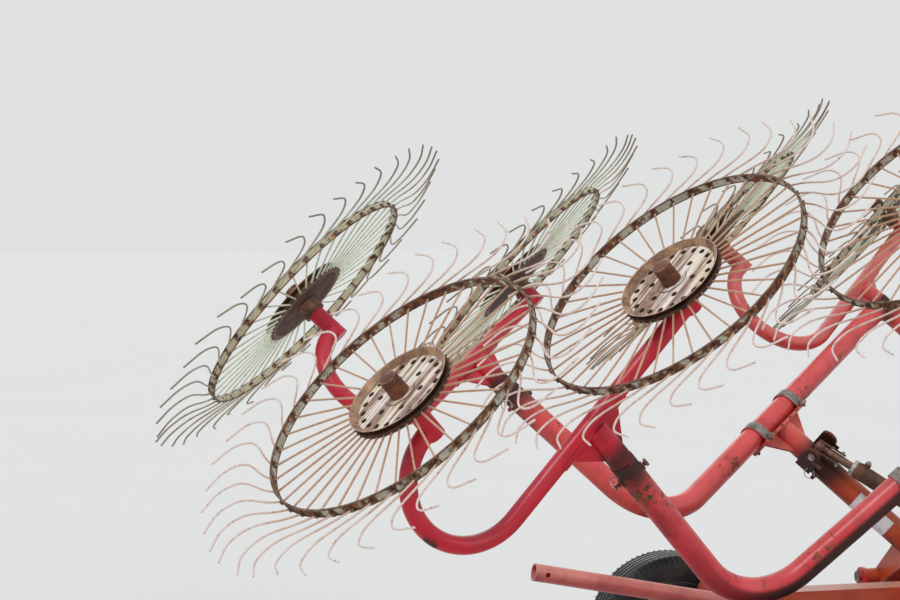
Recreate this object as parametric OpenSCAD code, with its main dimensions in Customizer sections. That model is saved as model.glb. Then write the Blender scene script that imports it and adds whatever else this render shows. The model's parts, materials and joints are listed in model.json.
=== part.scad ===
// Eight-wheel V rake for hay, folded for the road and parked on its tongue jack.
// Millimetres. X points forward, Y to the left, Z up. The origin is the drawbar pin's bore.
// Every module is drawn in ground axes (X = 0 over the axle, Z = 0 on the ground) and moved by in_part_axes().

/* [Running gear] */
// Outer diameter of a tyre
tyre_d = 630; // [560:5:680]
// Width of a tyre
tyre_w = 195; // [165:5:215]
// Bead diameter of a rim
rim_d = 381; // [330:1:410]
// Thickness of a rim's steel
rim_wall = 5; // [3:0.5:8]
// Distance between the middles of the two tyres
track = 1280; // [1200:10:1400]
// Diameter of a spindle
spindle_d = 44; // [30:1:60]
// Diameter of the cross tube that carries the spindles
axle_tube_d = 89; // [70:1:100]
// Height of the cross tube's middle
axle_tube_z = 505; // [490:1:530]
// How far the cross tube lies ahead of the spindles
axle_trail = 110; // [60:5:160]

/* [Backbone] */
// Width of the square backbone
backbone_w = 120; // [100:5:150]
// Wall of the backbone and of the cross beam
box_wall = 8; // [5:1:12]
// Height of the backbone's middle
backbone_z = 520; // [505:1:540]
// How far the backbone's rear end lies ahead of the axle
backbone_rear = 50; // [-40:5:55]
// Distance from the axle to the drawbar pin
hitch_reach = 3000; // [2700:10:3300]
// Height of the drawbar pin's middle
hitch_z = 450; // [400:5:480]
// Diameter of the drawbar pin's bore
hitch_bore = 27; // [20:0.5:33]
// Gap between the two ears of the drawbar clevis
hitch_gap = 50; // [35:1:60]
// Thickness of a drawbar ear
hitch_ear = 20; // [12:1:25]

/* [Tail tube] */
// Outer diameter of the open tail tube
tail_d = 63.5; // [50:0.5:76]
// Wall of the tail tube
tail_wall = 5; // [3:0.5:8]
// Length of the tail tube's middle line behind the backbone
tail_length = 815; // [500:5:1000]
// How steeply the tail tube rises to the rear
tail_rise = 11; // [0:0.5:16]
// Diameter of the cross pin's hole near the tail tube's mouth
tail_hole = 18; // [12:0.5:22]

/* [Jack] */
// Distance from the axle to the jack
jack_x = 2450; // [2200:10:2600]
// Outer diameter of the jack's sleeve
jack_d = 66; // [50:1:76]
// Outer diameter of the jack's leg
jack_leg_d = 50; // [40:1:56]
// Side of the jack's square foot
jack_foot = 180; // [120:10:220]

/* [Boom hinge] */
// Distance of each fore-and-aft hinge from the centre plane
hinge_y = 710; // [690:5:740]
// Height of the hinge
hinge_z = 490; // [480:1:510]
// Diameter of the hinge pin
hinge_pin_d = 36; // [25:1:42]
// Outer diameter of the hinge tube on a boom
hinge_tube_d = 64; // [54:1:76]
// Length of the hinge tube
hinge_length = 230; // [180:5:280]
// Thickness of a hinge ear
hinge_ear = 16; // [10:1:20]
// Depth and height of the cross beam
cross_beam = 100; // [80:5:110]

/* [Boom] */
// Toe angle of the raking beams to the line of travel
toe = 40.8; // [36:0.2:45]
// Height of the boom tube above its hinge when it is let down
boom_rise = 270; // [250:5:290]
// Distance along the boom from above the hinge to the beam's middle line
boom_length = 765; // [740:5:790]
// Distance of the beam clamp ahead of the axle
clamp_x = 470; // [440:5:500]
// Outer diameter of the boom tube
boom_d = 100; // [90:1:108]
// Wall of the boom tube
boom_wall = 6; // [4:0.5:9]
// Distance from the beam's middle line to the boom's open end
boom_mouth = 190; // [170:5:200]
// Fold of the right boom as it is parked, from level
fold_right = 71.8; // [50:0.2:73]
// Fold of the left boom as it is parked, from level
fold_left = 60.2; // [50:0.2:73]

/* [Raking beam] */
// Outer diameter of the beam tube
beam_d = 88.9; // [76:0.1:92]
// Wall of the beam tube
beam_wall = 5; // [4:0.5:8]
// Radius of the beam's bend, to the tube's middle line
beam_bend = 250; // [200:5:300]
// Reach of the beam behind its clamp
beam_back = 835; // [780:5:860]
// Reach of the beam ahead of its clamp
beam_front = 970; // [930:5:1000]
// Distance of the front rocker's pivot out from the beam
front_offset = 114; // [100:1:130]
// Neck from the rear rocker's pivot down to the beam's mouth
rear_neck = 170; // [150:5:200]
// Neck from the front rocker's pivot down to the beam's mouth
front_neck = 92; // [85:1:100]
// Lift of the right beam's front end as parked
beam_lift_right = 5.3; // [-1:0.1:12]
// Lift of the left beam's front end as parked
beam_lift_left = -13.1; // [-14:0.1:0]

/* [Rocker] */
// Outer diameter of a rocker's tube
rocker_d = 60.3; // [50:0.1:64]
// Wall of a rocker's tube
rocker_wall = 5; // [3:0.5:8]
// Distance along the rocker from its pivot back to the rear wheel's spindle
rocker_back = 412; // [390:1:430]
// Distance along the rocker from its pivot to the front wheel's spindle
rocker_front = 512; // [490:1:530]
// Radius of the rocker's hoop, to the tube's middle line
hoop_r = 220; // [190:5:240]
// Distance between the planes of neighbouring rake wheels
wheel_pitch = 423; // [400:1:440]
// Distance from the pivot to the plane of the rear wheel
wheel_offset = 576; // [560:1:590]
// Thickness of the web plates
web = 10; // [6:1:14]

/* [Rake wheel] */
// Number of tines on a wheel
tines = 40; // [32:1:44]
// Radius of the rim band
rim_r = 485; // [460:1:500]
// Width of the rim band
rim_band = 30; // [20:1:36]
// Thickness of the rim band
rim_plate = 5; // [3:0.5:8]
// Thickness of a tine's wire
wire = 7; // [5:0.5:9]
// Radius of the tines' tips
tip_r = 752; // [700:1:770]
// How far the tips stand out in front of the rim
tip_lead = 30; // [10:1:45]
// Radius of the hub disc
disc_r = 190; // [170:1:210]
// Thickness of the hub disc
disc_plate = 6; // [4:0.5:9]
// Number of holes in the outer ring of the disc
disc_holes = 20; // [12:1:24]
// Diameter of a hole in the outer ring
disc_hole_d = 22; // [14:1:28]
// Diameter of the wheel's spindle
rake_spindle_d = 30; // [24:1:36]
// Diameter of the hub's cap
cap_d = 58; // [50:1:70]
// Height of the hub's cap
cap_h = 72; // [60:1:85]

/* [Lift cylinder] */
// Distance of the cylinder's base pin ahead of the axle
lift_x = 1080; // [1050:5:1110]
// Distance of the base pin from the centre plane
lift_y = 220; // [200:5:240]
// Height of the base pin
lift_z = 680; // [660:1:700]
// Distance of the rod's eye from the beam, along the boom
lug_back = 220; // [210:5:240]
// Height of the rod's eye over the boom's middle line
lug_rise = 95; // [90:1:100]
// Outer diameter of the cylinder's barrel
barrel_d = 66; // [56:1:76]
// Length of a lift cylinder's barrel from its base pin
barrel_length = 545; // [520:5:560]
// Wall of the barrel
barrel_wall = 7; // [5:1:9]
// Diameter of the rod
rod_d = 32; // [25:1:38]
// Height of the piston
piston_h = 25; // [20:1:30]
// Diameter of the base pin
base_pin_d = 25; // [20:1:28]

/* [Fits] */
// Radial clearance of pins, spindles and stubs in their bores
running = 0.3; // [0.1:0.05:0.5]
// Gap between faces that turn on each other
seat = 0.3; // [0.1:0.1:0.6]

/* [Hidden] */
$fn = 48;

RIGHT = 0;
LEFT = 1;
REAR = 0;
FRONT = 1;

// Parked angles of each side: fold of the boom, lift of the beam's front end
FOLD = [fold_right, fold_left];
BEAM_LIFT = [beam_lift_right, beam_lift_left];
// Parked lift of each rocker's front end from its beam: [rear rocker, front rocker]
ROCKER_LIFT = [[11.7, -6.8], [-6.9, -1.7]];
// Where the slots stop the swing of a beam on its boom, for each side: [least, most] lift
BEAM_STOPS = [[-1, 13], [-14, 0]];
// Where the slots stop the swing of every rocker on its beam
ROCKER_STOPS = [-12, 12];
// Parked turn of each rake wheel
WHEEL_TURN = [[0, 4, 2, 6], [3, 1, 5, 2]];

paint = "#c8383c";
faded = "#d0604e";
orange = "#c4552a";
rust = "#6e4128";
steel = "#8f8d88";
cream = "#b9ad90";
black = "#242426";

backbone_top = backbone_z + backbone_w / 2;
cross_beam_top = backbone_z - backbone_w / 2;
cross_beam_z = cross_beam_top - cross_beam / 2;
hinge_x = clamp_x + boom_length * sin(toe);
stub_r = beam_d / 2 - beam_wall - running;
boom_stub_r = boom_d / 2 - boom_wall - running;
pin_r = 8;
pin_slack = 0.5;
stub_wall = 6;
stub_length = 135;
pin_in = 62;
boom_pin_in = 85;
rear_offset = front_offset + 2 * wheel_pitch;
rear_mouth = rear_offset - rear_neck;
front_mouth = front_offset - front_neck;
sleeve_length = stub_length + 34;
// Room that a turning collar has round it beside a tube
collar_room = 5;
ring_seat = disc_r - 26;
// Distance from a wheel's plane back to its hub's rear face, and forward to its spindle's end
hub_back = 60;
spindle_end = 50;
// Distance from a wheel's plane back to the middle line of the tube that carries it
hoop_to_wheel = 160;
arm_to_wheel = 100;

// Thickness of the tail tube's foot along its middle line
tail_floor = 15;
// Distance from the drawbar pin back to the tongue's end
hitch_setback = 150;
// Length of the clamp's stub inside the boom
clamp_stub_length = 150;
// Sideways place of the parking jack, and its sleeve's reach below and above the backbone
jack_y = backbone_w / 2 + jack_d / 2 + 12;
jack_below = 170;
jack_above = 230;
// Where a barrel's bore starts and how thick its head is, and where its ports stand
bore_start = 75;
head_h = 15;
ports = [90, barrel_length - 45];
// A parked rod's piston stands this far from the base pin
piston_z = bore_start + 10;

// Moves the ground axes to the drawbar pin
module in_part_axes() {
  translate([-hitch_reach, 0, -hitch_z]) children();
}

// Draws the left side's piece on either side
module on_side(side) {
  mirror([0, side == RIGHT ? 1 : 0, 0]) children();
}

// Boom axes: origin where boom and beam cross, X along the beam, Y out along the boom, Z square to both
module boom_axes(side) {
  on_side(side)
    translate([clamp_x, hinge_y, hinge_z])
      rotate([FOLD[side], 0, 0])
        translate([0, boom_length * cos(toe), boom_rise])
          rotate([0, 0, toe])
            children();
}

// Beam axes: the boom axes turned about the boom
module beam_axes(side) {
  boom_axes(side) rotate([0, -BEAM_LIFT[side], 0]) children();
}

// Rocker axes: origin on the rocker's pivot, X along the rocker
module rocker_axes(side, end) {
  beam_axes(side)
    translate(end == REAR ? [-beam_back, rear_offset, 0] : [beam_front, front_offset, 0])
      rotate([0, -ROCKER_LIFT[side][end], 0])
        children();
}

// Wheel axes: origin in the wheel's middle plane, Z along its spindle
module wheel_axes(side, number) {
  end = number < 3 ? REAR : FRONT;
  first = number % 2 == 1;
  rocker_axes(side, end)
    translate(first ? [-rocker_back, wheel_offset, 0] : [rocker_front, wheel_offset - wheel_pitch, 0])
      rotate([-90, 0, 0])
        rotate([0, 0, WHEEL_TURN[side][number - 1]])
          children();
}

// A plain tube along Z
module tube(outer_d, wall, length) {
  difference() {
    cylinder(d = outer_d, h = length);
    translate([0, 0, -1]) cylinder(d = outer_d - 2 * wall, h = length + 2);
  }
}

// Part of a torus about Z, in the XY plane
module bend(radius, tube_d, angle) {
  rotate_extrude(angle = angle) translate([radius, 0]) circle(d = tube_d);
}

// Cylinder along +Y from y0 to y1
module along_y(d, y0, y1) {
  translate([0, y0, 0]) rotate([-90, 0, 0]) cylinder(d = d, h = y1 - y0);
}

// Cylinder along +X from x0 to x1
module along_x(d, x0, x1) {
  translate([x0, 0, 0]) rotate([0, 90, 0]) cylinder(d = d, h = x1 - x0);
}

// Slot round both sides of a stub that lets a crosswise pin swing from a0 to a1 about Y
module swing_slot(r, a0, a1) {
  spread = asin((pin_r + pin_slack) / (r - stub_wall));
  half_w = pin_r + pin_slack;
  for (flip = [0, 180])
    rotate([0, flip, 0])
      translate([0, -half_w, 0])
        rotate([-90, 0, 0])
          linear_extrude(2 * half_w)
            polygon([
              [0, 0],
              [2 * r * cos(a0 - spread), 2 * r * sin(a0 - spread)],
              [2 * r, 2 * r * tan((a0 + a1) / 2)],
              [2 * r * cos(a1 + spread), 2 * r * sin(a1 + spread)]
            ]);
}

// Hollow stub that turns in a tube's mouth at y = 0 and is kept there by a pin at y = -pin_at
module pivot_stub(r, length, pin_at, stops) {
  difference() {
    translate([0, -length, 0]) rotate([-90, 0, 0]) tube(2 * r, stub_wall, length + seat + 4);
    translate([0, -pin_at, 0]) swing_slot(r, stops[0], stops[1]);
  }
}

// Square tube of the tongue, closed by a plate at each end
module backbone() {
  length = hitch_reach - hitch_setback - backbone_rear;
  color(orange)
    translate([backbone_rear, 0, backbone_z])
      difference() {
        translate([0, -backbone_w / 2, -backbone_w / 2]) cube([length, backbone_w, backbone_w]);
        translate([box_wall, -backbone_w / 2 + box_wall, -backbone_w / 2 + box_wall])
          cube([length - 2 * box_wall, backbone_w - 2 * box_wall, backbone_w - 2 * box_wall]);
      }
}

// Two drawbar ears on an end plate
module hitch_clevis() {
  plate = 16;
  back = hitch_setback - plate;
  height = backbone_top - hitch_z + hitch_gap / 2 + hitch_ear;
  color(faded)
    difference() {
      union() {
        translate([hitch_reach - hitch_setback, -backbone_w / 2, backbone_top - height]) cube([plate, backbone_w, height]);
        for (side = [-1, 1])
          translate([hitch_reach, 0, hitch_z + side * (hitch_gap + hitch_ear) / 2 - hitch_ear / 2]) {
            cylinder(d = backbone_w - 40, h = hitch_ear);
            translate([-back, -backbone_w / 2 + 20, 0]) cube([back, backbone_w - 40, hitch_ear]);
          }
      }
      translate([hitch_reach, 0, hitch_z - hitch_gap]) cylinder(d = hitch_bore, h = 2 * hitch_gap);
    }
}

// Cross tube in two halves welded to the backbone's sides, with drop legs and spindles
module axle() {
  leg_y = track / 2 - tyre_w / 2 - 72;
  leg_drop = axle_tube_z - tyre_d / 2;
  leg_w = 40;
  leg_angle = atan(axle_trail / leg_drop);
  leg_length = norm([axle_trail, leg_drop]);
  color(paint)
    for (side = [RIGHT, LEFT])
      on_side(side) {
        translate([axle_trail, 0, axle_tube_z]) along_y(axle_tube_d, backbone_w / 2, leg_y + 40);
        translate([axle_trail, leg_y, axle_tube_z])
          rotate([0, leg_angle, 0])
            translate([0, 0, -leg_length / 2])
              cube([70, leg_w, leg_length], center = true);
        translate([0, 0, tyre_d / 2]) along_y(90, leg_y - leg_w / 2, leg_y + leg_w / 2);
        translate([0, 0, tyre_d / 2]) along_y(spindle_d, leg_y, track / 2 + 58);
      }
}

// Cross beam under the backbone, with a rail and two hinge ears at each end
module cross_beam() {
  rail_y = hinge_y - hinge_tube_d / 2 - 68;
  ear_x = hinge_length / 2 + seat;
  color(paint) {
    difference() {
      translate([hinge_x - cross_beam / 2, -rail_y, cross_beam_z - cross_beam / 2])
        cube([cross_beam, 2 * rail_y, cross_beam]);
      translate([hinge_x - cross_beam / 2 + box_wall, -rail_y - 1, cross_beam_z - cross_beam / 2 + box_wall])
        cube([cross_beam - 2 * box_wall, 2 * rail_y + 2, cross_beam - 2 * box_wall]);
    }
    for (side = [RIGHT, LEFT])
      on_side(side) {
        translate([hinge_x - ear_x - hinge_ear, rail_y, cross_beam_z - cross_beam / 2])
          cube([2 * (ear_x + hinge_ear), 60, cross_beam]);
        for (end = [-1, 1])
          translate([hinge_x + end * (ear_x + hinge_ear / 2) - hinge_ear / 2, 0, 0])
            hinge_ear_plate(rail_y + 60);
        translate([hinge_x, hinge_y, hinge_z]) along_x(hinge_pin_d, -ear_x - hinge_ear - 12, ear_x + hinge_ear + 12);
      }
  }
}

// One hinge ear, from the rail's face out to the hinge pin
module hinge_ear_plate(face_y) {
  low = cross_beam_z - cross_beam / 2;
  rotate([90, 0, 90])
    linear_extrude(hinge_ear)
      union() {
        polygon([[face_y - 1, low], [hinge_y + 20, low], [hinge_y + 36, hinge_z], [face_y - 1, hinge_z]]);
        translate([hinge_y, hinge_z]) circle(d = 76);
      }
}

// Axis of the left lift cylinder's swing, from its three positions: parked, half way and down
function turn_x(v, a) = [v[0], v[1] * cos(a) - v[2] * sin(a), v[1] * sin(a) + v[2] * cos(a)];
function turn_z(v, a) = [v[0] * cos(a) - v[1] * sin(a), v[0] * sin(a) + v[1] * cos(a), v[2]];
function unit(v) = v / norm(v);
function eye_point(fold) =
  [clamp_x, hinge_y, hinge_z]
  + turn_x([0, boom_length * cos(toe), boom_rise] + turn_z([0, -lug_back, lug_rise], toe), fold);
lift_base = [lift_x, lift_y, lift_z];
function lift_line(fold) = eye_point(fold) - lift_base;
function lift_axis(fold) =
  unit(cross(
    unit(lift_line(fold / 2)) - unit(lift_line(fold)),
    unit(lift_line(0)) - unit(lift_line(fold))
  ));
lift_pin_axis = lift_axis((fold_left + fold_right) / 2);

// Turns +Z to lie along v
module toward(v) {
  rotate([0, acos(v[2] / norm(v)), atan2(v[1], v[0])]) children();
}

// Two lug plates on the backbone that hold the base pins of the lift cylinders
module lift_anchor() {
  plate = 16;
  boss = 30;
  stand = 46;
  run = 1.35 * lift_y;
  heading = atan2(lift_pin_axis[1], lift_pin_axis[0]) + 90;
  color(paint)
    for (side = [RIGHT, LEFT])
      on_side(side) {
        intersection() {
          translate(lift_base - stand * lift_pin_axis)
            rotate([0, 0, heading])
              translate([-boss, -plate / 2, backbone_top - lift_z])
                cube([run, plate, lift_z - backbone_top + boss]);
          translate([0, 0, backbone_top]) cube([hitch_reach, track, lift_z]);
        }
        translate(lift_base - (stand + plate / 2) * lift_pin_axis)
          toward(lift_pin_axis)
            cylinder(r = boss, h = plate);
        translate(lift_base - stand * lift_pin_axis)
          toward(lift_pin_axis)
            cylinder(d = base_pin_d, h = stand + 42);
      }
}

// Tube that rises behind the backbone, open to the rear and closed at its foot
module tail_tube() {
  root = [backbone_rear, 0, backbone_z + 8];
  color(faded)
    difference() {
      translate(root)
        rotate([0, -90 + tail_rise, 0])
          difference() {
            translate([0, 0, -tail_d]) cylinder(d = tail_d, h = tail_length + tail_d);
            translate([0, 0, tail_floor]) cylinder(d = tail_d - 2 * tail_wall, h = tail_length);
            translate([0, -tail_d, tail_length - 45])
              rotate([-90, 0, 0])
                cylinder(d = tail_hole, h = 2 * tail_d);
          }
      translate([backbone_rear, -tail_d, 0]) cube([hitch_reach, 2 * tail_d, 2 * backbone_z]);
    }
}

// Sleeve of the parking jack on the tongue's left side, with its crank
module jack_sleeve() {
  low = backbone_z - jack_below;
  high = backbone_z + jack_above;
  color(rust)
    translate([jack_x, jack_y, 0]) {
      difference() {
        translate([0, 0, low]) cylinder(d = jack_d, h = high - low);
        translate([0, 0, low - 1]) cylinder(d = jack_leg_d + 2 * running, h = high - low - 20);
      }
      translate([-60, -jack_d / 2 - 12, backbone_z - 60]) cube([120, 18, 120]);
      translate([0, 0, high]) cylinder(d = 26, h = 16);
      translate([-110, -7, high + 12]) cube([120, 14, 14]);
      translate([-103, 0, high + 12]) cylinder(d = 14, h = 90);
    }
}

// Leg of the parking jack, standing on the ground
module jack_leg() {
  foot_plate = 10;
  color(steel)
    translate([jack_x, jack_y, 0]) {
      translate([-jack_foot / 2, -jack_foot / 2, 0]) cube([jack_foot, jack_foot, foot_plate]);
      translate([0, 0, foot_plate]) cylinder(d = jack_leg_d, h = backbone_z + jack_above - 50 - foot_plate);
    }
}

// Tyre with round shoulders and open beads
module tyre(side) {
  r = tyre_d / 2;
  bead = rim_d / 2;
  half = tyre_w / 2;
  tread = half - 22;
  color(black)
    on_side(side)
      translate([0, track / 2, r])
        rotate([-90, 0, 0])
          rotate_extrude($fn = 72)
            polygon([
              [bead, -half + 12], [bead + 40, -half], [r - 50, -half], [r - 16, -tread - 10], [r - 4, -tread],
              [r, -tread + 22], [r, tread - 22], [r - 4, tread], [r - 16, tread + 10], [r - 50, half],
              [bead + 40, half], [bead, half - 12], [bead, half - 34], [bead + 30, half - 20],
              [r - 52, half - 18], [r - 22, tread - 12], [r - 16, 0], [r - 22, -tread + 12],
              [r - 52, -half + 18], [bead + 30, -half + 20], [bead, -half + 34]
            ]);
}

// Steel road wheel: rim barrel, dished disc and hub on its spindle
module road_wheel(side) {
  bead = rim_d / 2;
  half = tyre_w / 2;
  color(cream)
    on_side(side)
      translate([0, track / 2, tyre_d / 2])
        rotate([-90, 0, 0])
          difference() {
            union() {
              rotate_extrude($fn = 72)
                polygon([
                  [bead - rim_wall, -half + 12], [bead, -half + 12], [bead, -half + 40], [bead - 18, -half + 55],
                  [bead - 18, half - 55], [bead, half - 40], [bead, half - 12], [bead - rim_wall, half - 12],
                  [bead - rim_wall, half - 36], [bead - 18 - rim_wall, half - 52],
                  [bead - 18 - rim_wall, -half + 52], [bead - rim_wall, -half + 36]
                ]);
              translate([0, 0, 8]) cylinder(r = bead - 18 - rim_wall / 2, h = 7);
              translate([0, 0, -48]) cylinder(d = 84, h = 96);
              translate([0, 0, 48]) cylinder(d = 64, h = 22);
            }
            translate([0, 0, -49]) cylinder(d = spindle_d + 2 * running, h = 110);
            for (hole = [0:9])
              rotate([0, 0, 36 * hole])
                translate([bead - 62, 0, 0])
                  cylinder(d = 34, h = 40);
          }
}

// Direction of a parked cylinder, seen from the left side
function lift_dir(side) = unit(lift_line(FOLD[side]));
// Length of a parked cylinder from the base pin to the rod's eye
function lift_span(side) = norm(lift_line(FOLD[side]));

// Barrel of a lift cylinder with its base eye
module lift_barrel(side) {
  color(rust)
    on_side(side)
      translate(lift_base)
        difference() {
          toward(lift_dir(side))
            difference() {
              union() {
                sphere(r = 33);
                cylinder(d = 44, h = 70);
                translate([0, 0, 60]) cylinder(d = barrel_d, h = barrel_length - 60);
                for (port = ports)
                  translate([0, 0, port]) rotate([0, -90, 0]) cylinder(d = 26, h = barrel_d / 2 + 12);
              }
              translate([0, 0, bore_start])
                cylinder(d = barrel_d - 2 * barrel_wall, h = barrel_length - head_h - bore_start);
              translate([0, 0, barrel_length - 2 * head_h]) cylinder(d = rod_d + 2 * running, h = 3 * head_h);
            }
          toward(lift_pin_axis)
            translate([0, 0, -60])
              cylinder(d = base_pin_d + 2 * running, h = 120);
        }
}

// Rod of a lift cylinder with its eye, which stands between the boom's lug ears
module lift_rod(side) {
  span = lift_span(side);
  color(steel)
    on_side(side)
      translate(lift_base)
        toward(lift_dir(side)) {
          translate([0, 0, piston_z]) cylinder(d = rod_d, h = span - piston_z - 15);
          translate([0, 0, piston_z]) cylinder(d = barrel_d - 2 * barrel_wall - 2 * running, h = piston_h);
          translate([0, 0, span]) sphere(r = 24);
        }
}

// Boom: open tube, hinge bracket below its root, cylinder lug and retaining pin at its mouth
module boom(side) {
  root = -boom_length;
  color(orange)
    boom_axes(side) {
      difference() {
        union() {
          along_y(boom_d, root - 60, -boom_mouth);
          lug_ears();
        }
        along_y(boom_d - 2 * boom_wall, root - 40, -boom_mouth + 1);
      }
      translate([0, -boom_mouth - boom_pin_in, 0]) along_x(2 * pin_r, -boom_d / 2 - 26, boom_d / 2 + 20);
      translate([0, root, 0]) rotate([0, 0, -toe]) hinge_bracket();
    }
}

// Two ears that straddle the boom and take the cylinder's eye
module lug_ears() {
  ear = 12;
  width = 70;
  for (side = [-1, 1])
    translate([side * (boom_d / 2 + ear / 2 - 1) - ear / 2, -lug_back, 0])
      rotate([90, 0, 90])
        linear_extrude(ear)
          union() {
            translate([-width / 2, -20]) square([width, lug_rise + 20]);
            translate([0, lug_rise]) circle(d = width);
          }
}

// Plate and hinge tube under the boom's root, square to the line of travel
module hinge_bracket() {
  plate = 14;
  spread = hinge_length / 2 - 20;
  difference() {
    union() {
      translate([0, 0, -boom_rise]) along_x(hinge_tube_d, -hinge_length / 2, hinge_length / 2);
      for (end = [-1, 1])
        translate([end * 52 - plate / 2, 0, 0])
          rotate([90, 0, 90])
            linear_extrude(plate)
              polygon([[-55, 0], [70, 0], [30, -boom_rise], [-30, -boom_rise]]);
    }
    translate([0, 0, -boom_rise]) along_x(hinge_pin_d + 2 * running, -hinge_length, hinge_length);
    rotate([0, 0, toe]) along_y(boom_d - 2 * boom_wall, -40, 200);
  }
}

// Clamp that carries the beam: stub in the boom's mouth, webs, back plate and two bands
module beam_clamp(side) {
  plate = 12;
  face = -beam_d / 2;
  reach = 130;
  band_w = 42;
  band_t = 6;
  plate_reach = reach + band_w / 2 + 9;
  plate_half = beam_d / 2 + band_t + 3;
  color(faded)
    beam_axes(side) {
      translate([0, -boom_mouth, 0])
        pivot_stub(boom_stub_r, clamp_stub_length, boom_pin_in, BEAM_STOPS[side]);
      difference() {
        along_y(boom_d - 8, -boom_mouth + seat, face - plate + 1);
        along_y(boom_d - 8 - 2 * stub_wall, -boom_mouth - 1, face - plate + 2);
      }
      translate([-plate_reach, face - plate, -plate_half]) cube([2 * plate_reach, plate, 2 * plate_half]);
      difference() {
        translate([0, 0, -web / 2])
          linear_extrude(web)
            polygon([
              [-reach, face - plate + 1], [reach, face - plate + 1],
              [boom_d / 2 - 8, -boom_mouth + 25], [-boom_d / 2 + 8, -boom_mouth + 25]
            ]);
        along_y(boom_d - 8 - 2 * stub_wall, -boom_mouth - 1, face - plate + 2);
      }
    }
  color(steel)
    beam_axes(side)
      for (end = [-1, 1])
        translate([end * reach - band_w / 2, 0, 0])
          rotate([90, 0, 90])
            linear_extrude(band_w)
              difference() {
                band_outline(beam_d / 2 + band_t, face);
                band_outline(beam_d / 2, face - 1);
              }
}

// Half disc with straight legs that reach down to a line at base_y
module band_outline(r, base_y) {
  intersection() {
    circle(r);
    translate([0, -r]) square([r, 2 * r]);
  }
  translate([base_y, -r]) square([-base_y, 2 * r]);
}

// Beam tube: run past the clamp, bend, leg out to the rear mouth, and a crosswise sleeve at the front
module beam(side) {
  inner_d = beam_d - 2 * beam_wall;
  sleeve_back = front_mouth - sleeve_length;
  notch_d = beam_d + 2 * collar_room;
  color(paint)
    beam_axes(side) {
      difference() {
        beam_line(beam_d, 0);
        difference() {
          beam_line(inner_d, 1);
          translate([beam_front, 0, 0])
            along_y(notch_d + 2 * beam_wall, front_mouth - beam_wall, beam_d);
        }
        translate([beam_front, 0, 0]) along_y(beam_d - 1, sleeve_back, front_mouth);
        translate([beam_front, 0, 0]) along_y(notch_d, front_mouth, beam_d);
      }
      translate([beam_front, 0, 0])
        difference() {
          along_y(beam_d, sleeve_back, front_mouth);
          along_y(inner_d, sleeve_back - 1, front_mouth + 1);
        }
      translate([-beam_back, rear_mouth - pin_in, 0]) along_x(2 * pin_r, -beam_d / 2 - 26, beam_d / 2 + 20);
      translate([beam_front, front_mouth - pin_in, 0]) along_x(2 * pin_r, -beam_d / 2 - 26, beam_d / 2 + 20);
    }
}

// The beam's course, drawn at one diameter and lengthened at its open rear end
module beam_line(d, extra) {
  along_x(d, -beam_back + beam_bend, beam_front);
  translate([-beam_back + beam_bend, beam_bend, 0]) rotate([0, 0, 180]) bend(beam_bend, d, 90);
  translate([-beam_back, 0, 0]) along_y(d, beam_bend, rear_mouth + extra);
}

// Rocker: hoop behind the rear wheel, arm to the front wheel, pivot stub with its web, two spindles
module rocker(side, end) {
  top_y = wheel_offset - hoop_to_wheel;
  hoop_middle = [-rocker_back, top_y - hoop_r];
  arm_end = [rocker_front, wheel_offset - wheel_pitch - arm_to_wheel];
  mouth = end == REAR ? -rear_neck : -front_neck;
  collar_d = beam_d - 6;
  arm_y = arm_end[1] - arm_end[0] * tan(arm_slope(hoop_middle, arm_end));
  web_back = [-150, arm_y - 22];
  web_front = [120, arm_y - 2];
  web_foot = 0.75 * mouth;
  color(end == REAR ? paint : faded)
    rocker_axes(side, end) {
      difference() {
        union() {
          rocker_line(rocker_d, hoop_middle, arm_end, 0);
          along_y(collar_d, mouth + seat, arm_y - rocker_d / 4);
          translate([0, 0, -web / 2])
            linear_extrude(web)
              polygon([web_back, web_front, [beam_d / 2 - 6, web_foot], [-beam_d / 2 + 6, web_foot]]);
          spindle_boss([-rocker_back, top_y], hoop_to_wheel - hub_back);
          spindle_boss(arm_end, arm_to_wheel - hub_back);
        }
        rocker_line(rocker_d - 2 * rocker_wall, hoop_middle, arm_end, -rocker_wall);
        along_y(collar_d - 2 * stub_wall, mouth - 1, arm_y - rocker_d / 2 - 16);
      }
      translate([-rocker_back, wheel_offset, 0]) along_y(rake_spindle_d, -hub_back - 10, spindle_end);
      translate([rocker_front, wheel_offset - wheel_pitch, 0]) along_y(rake_spindle_d, -hub_back - 10, spindle_end);
      translate([0, mouth, 0])
        pivot_stub(stub_r, stub_length, pin_in, ROCKER_STOPS);
    }
}

// The rocker's course: hoop, and a straight arm that leaves it on a tangent
function arm_slope(middle, arm_end) =
  let (away = arm_end - middle)
  atan2(away[1], away[0]) + asin(hoop_r / norm(away));
module rocker_line(d, middle, arm_end, extra) {
  away = arm_end - middle;
  slope = arm_slope(middle, arm_end);
  translate([middle[0], middle[1], 0]) {
    rotate([0, 0, 90]) bend(hoop_r, d, 180 + slope);
    rotate([0, 0, slope])
      translate([0, -hoop_r, 0])
        along_x(d, 0, sqrt(away * away - hoop_r * hoop_r) + extra);
  }
}

// Housing of a rake wheel's spindle on the end of a tube
module spindle_boss(at, length) {
  translate([at[0], at[1], 0]) along_y(rocker_d + 4, -rocker_d / 2, length);
}

// Left and right edges of a strip of one width along a line of points
function strip_normal(p, i) =
  let (
    a = p[max(i - 1, 0)],
    b = p[min(i + 1, len(p) - 1)],
    t = unit(b - a)
  )
  [-t[1], t[0]];
function strip(p, width) =
  concat(
    [for (i = [0:len(p) - 1]) p[i] + width / 2 * strip_normal(p, i)],
    [for (i = [len(p) - 1:-1:0]) p[i] - width / 2 * strip_normal(p, i)]
  );

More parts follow.
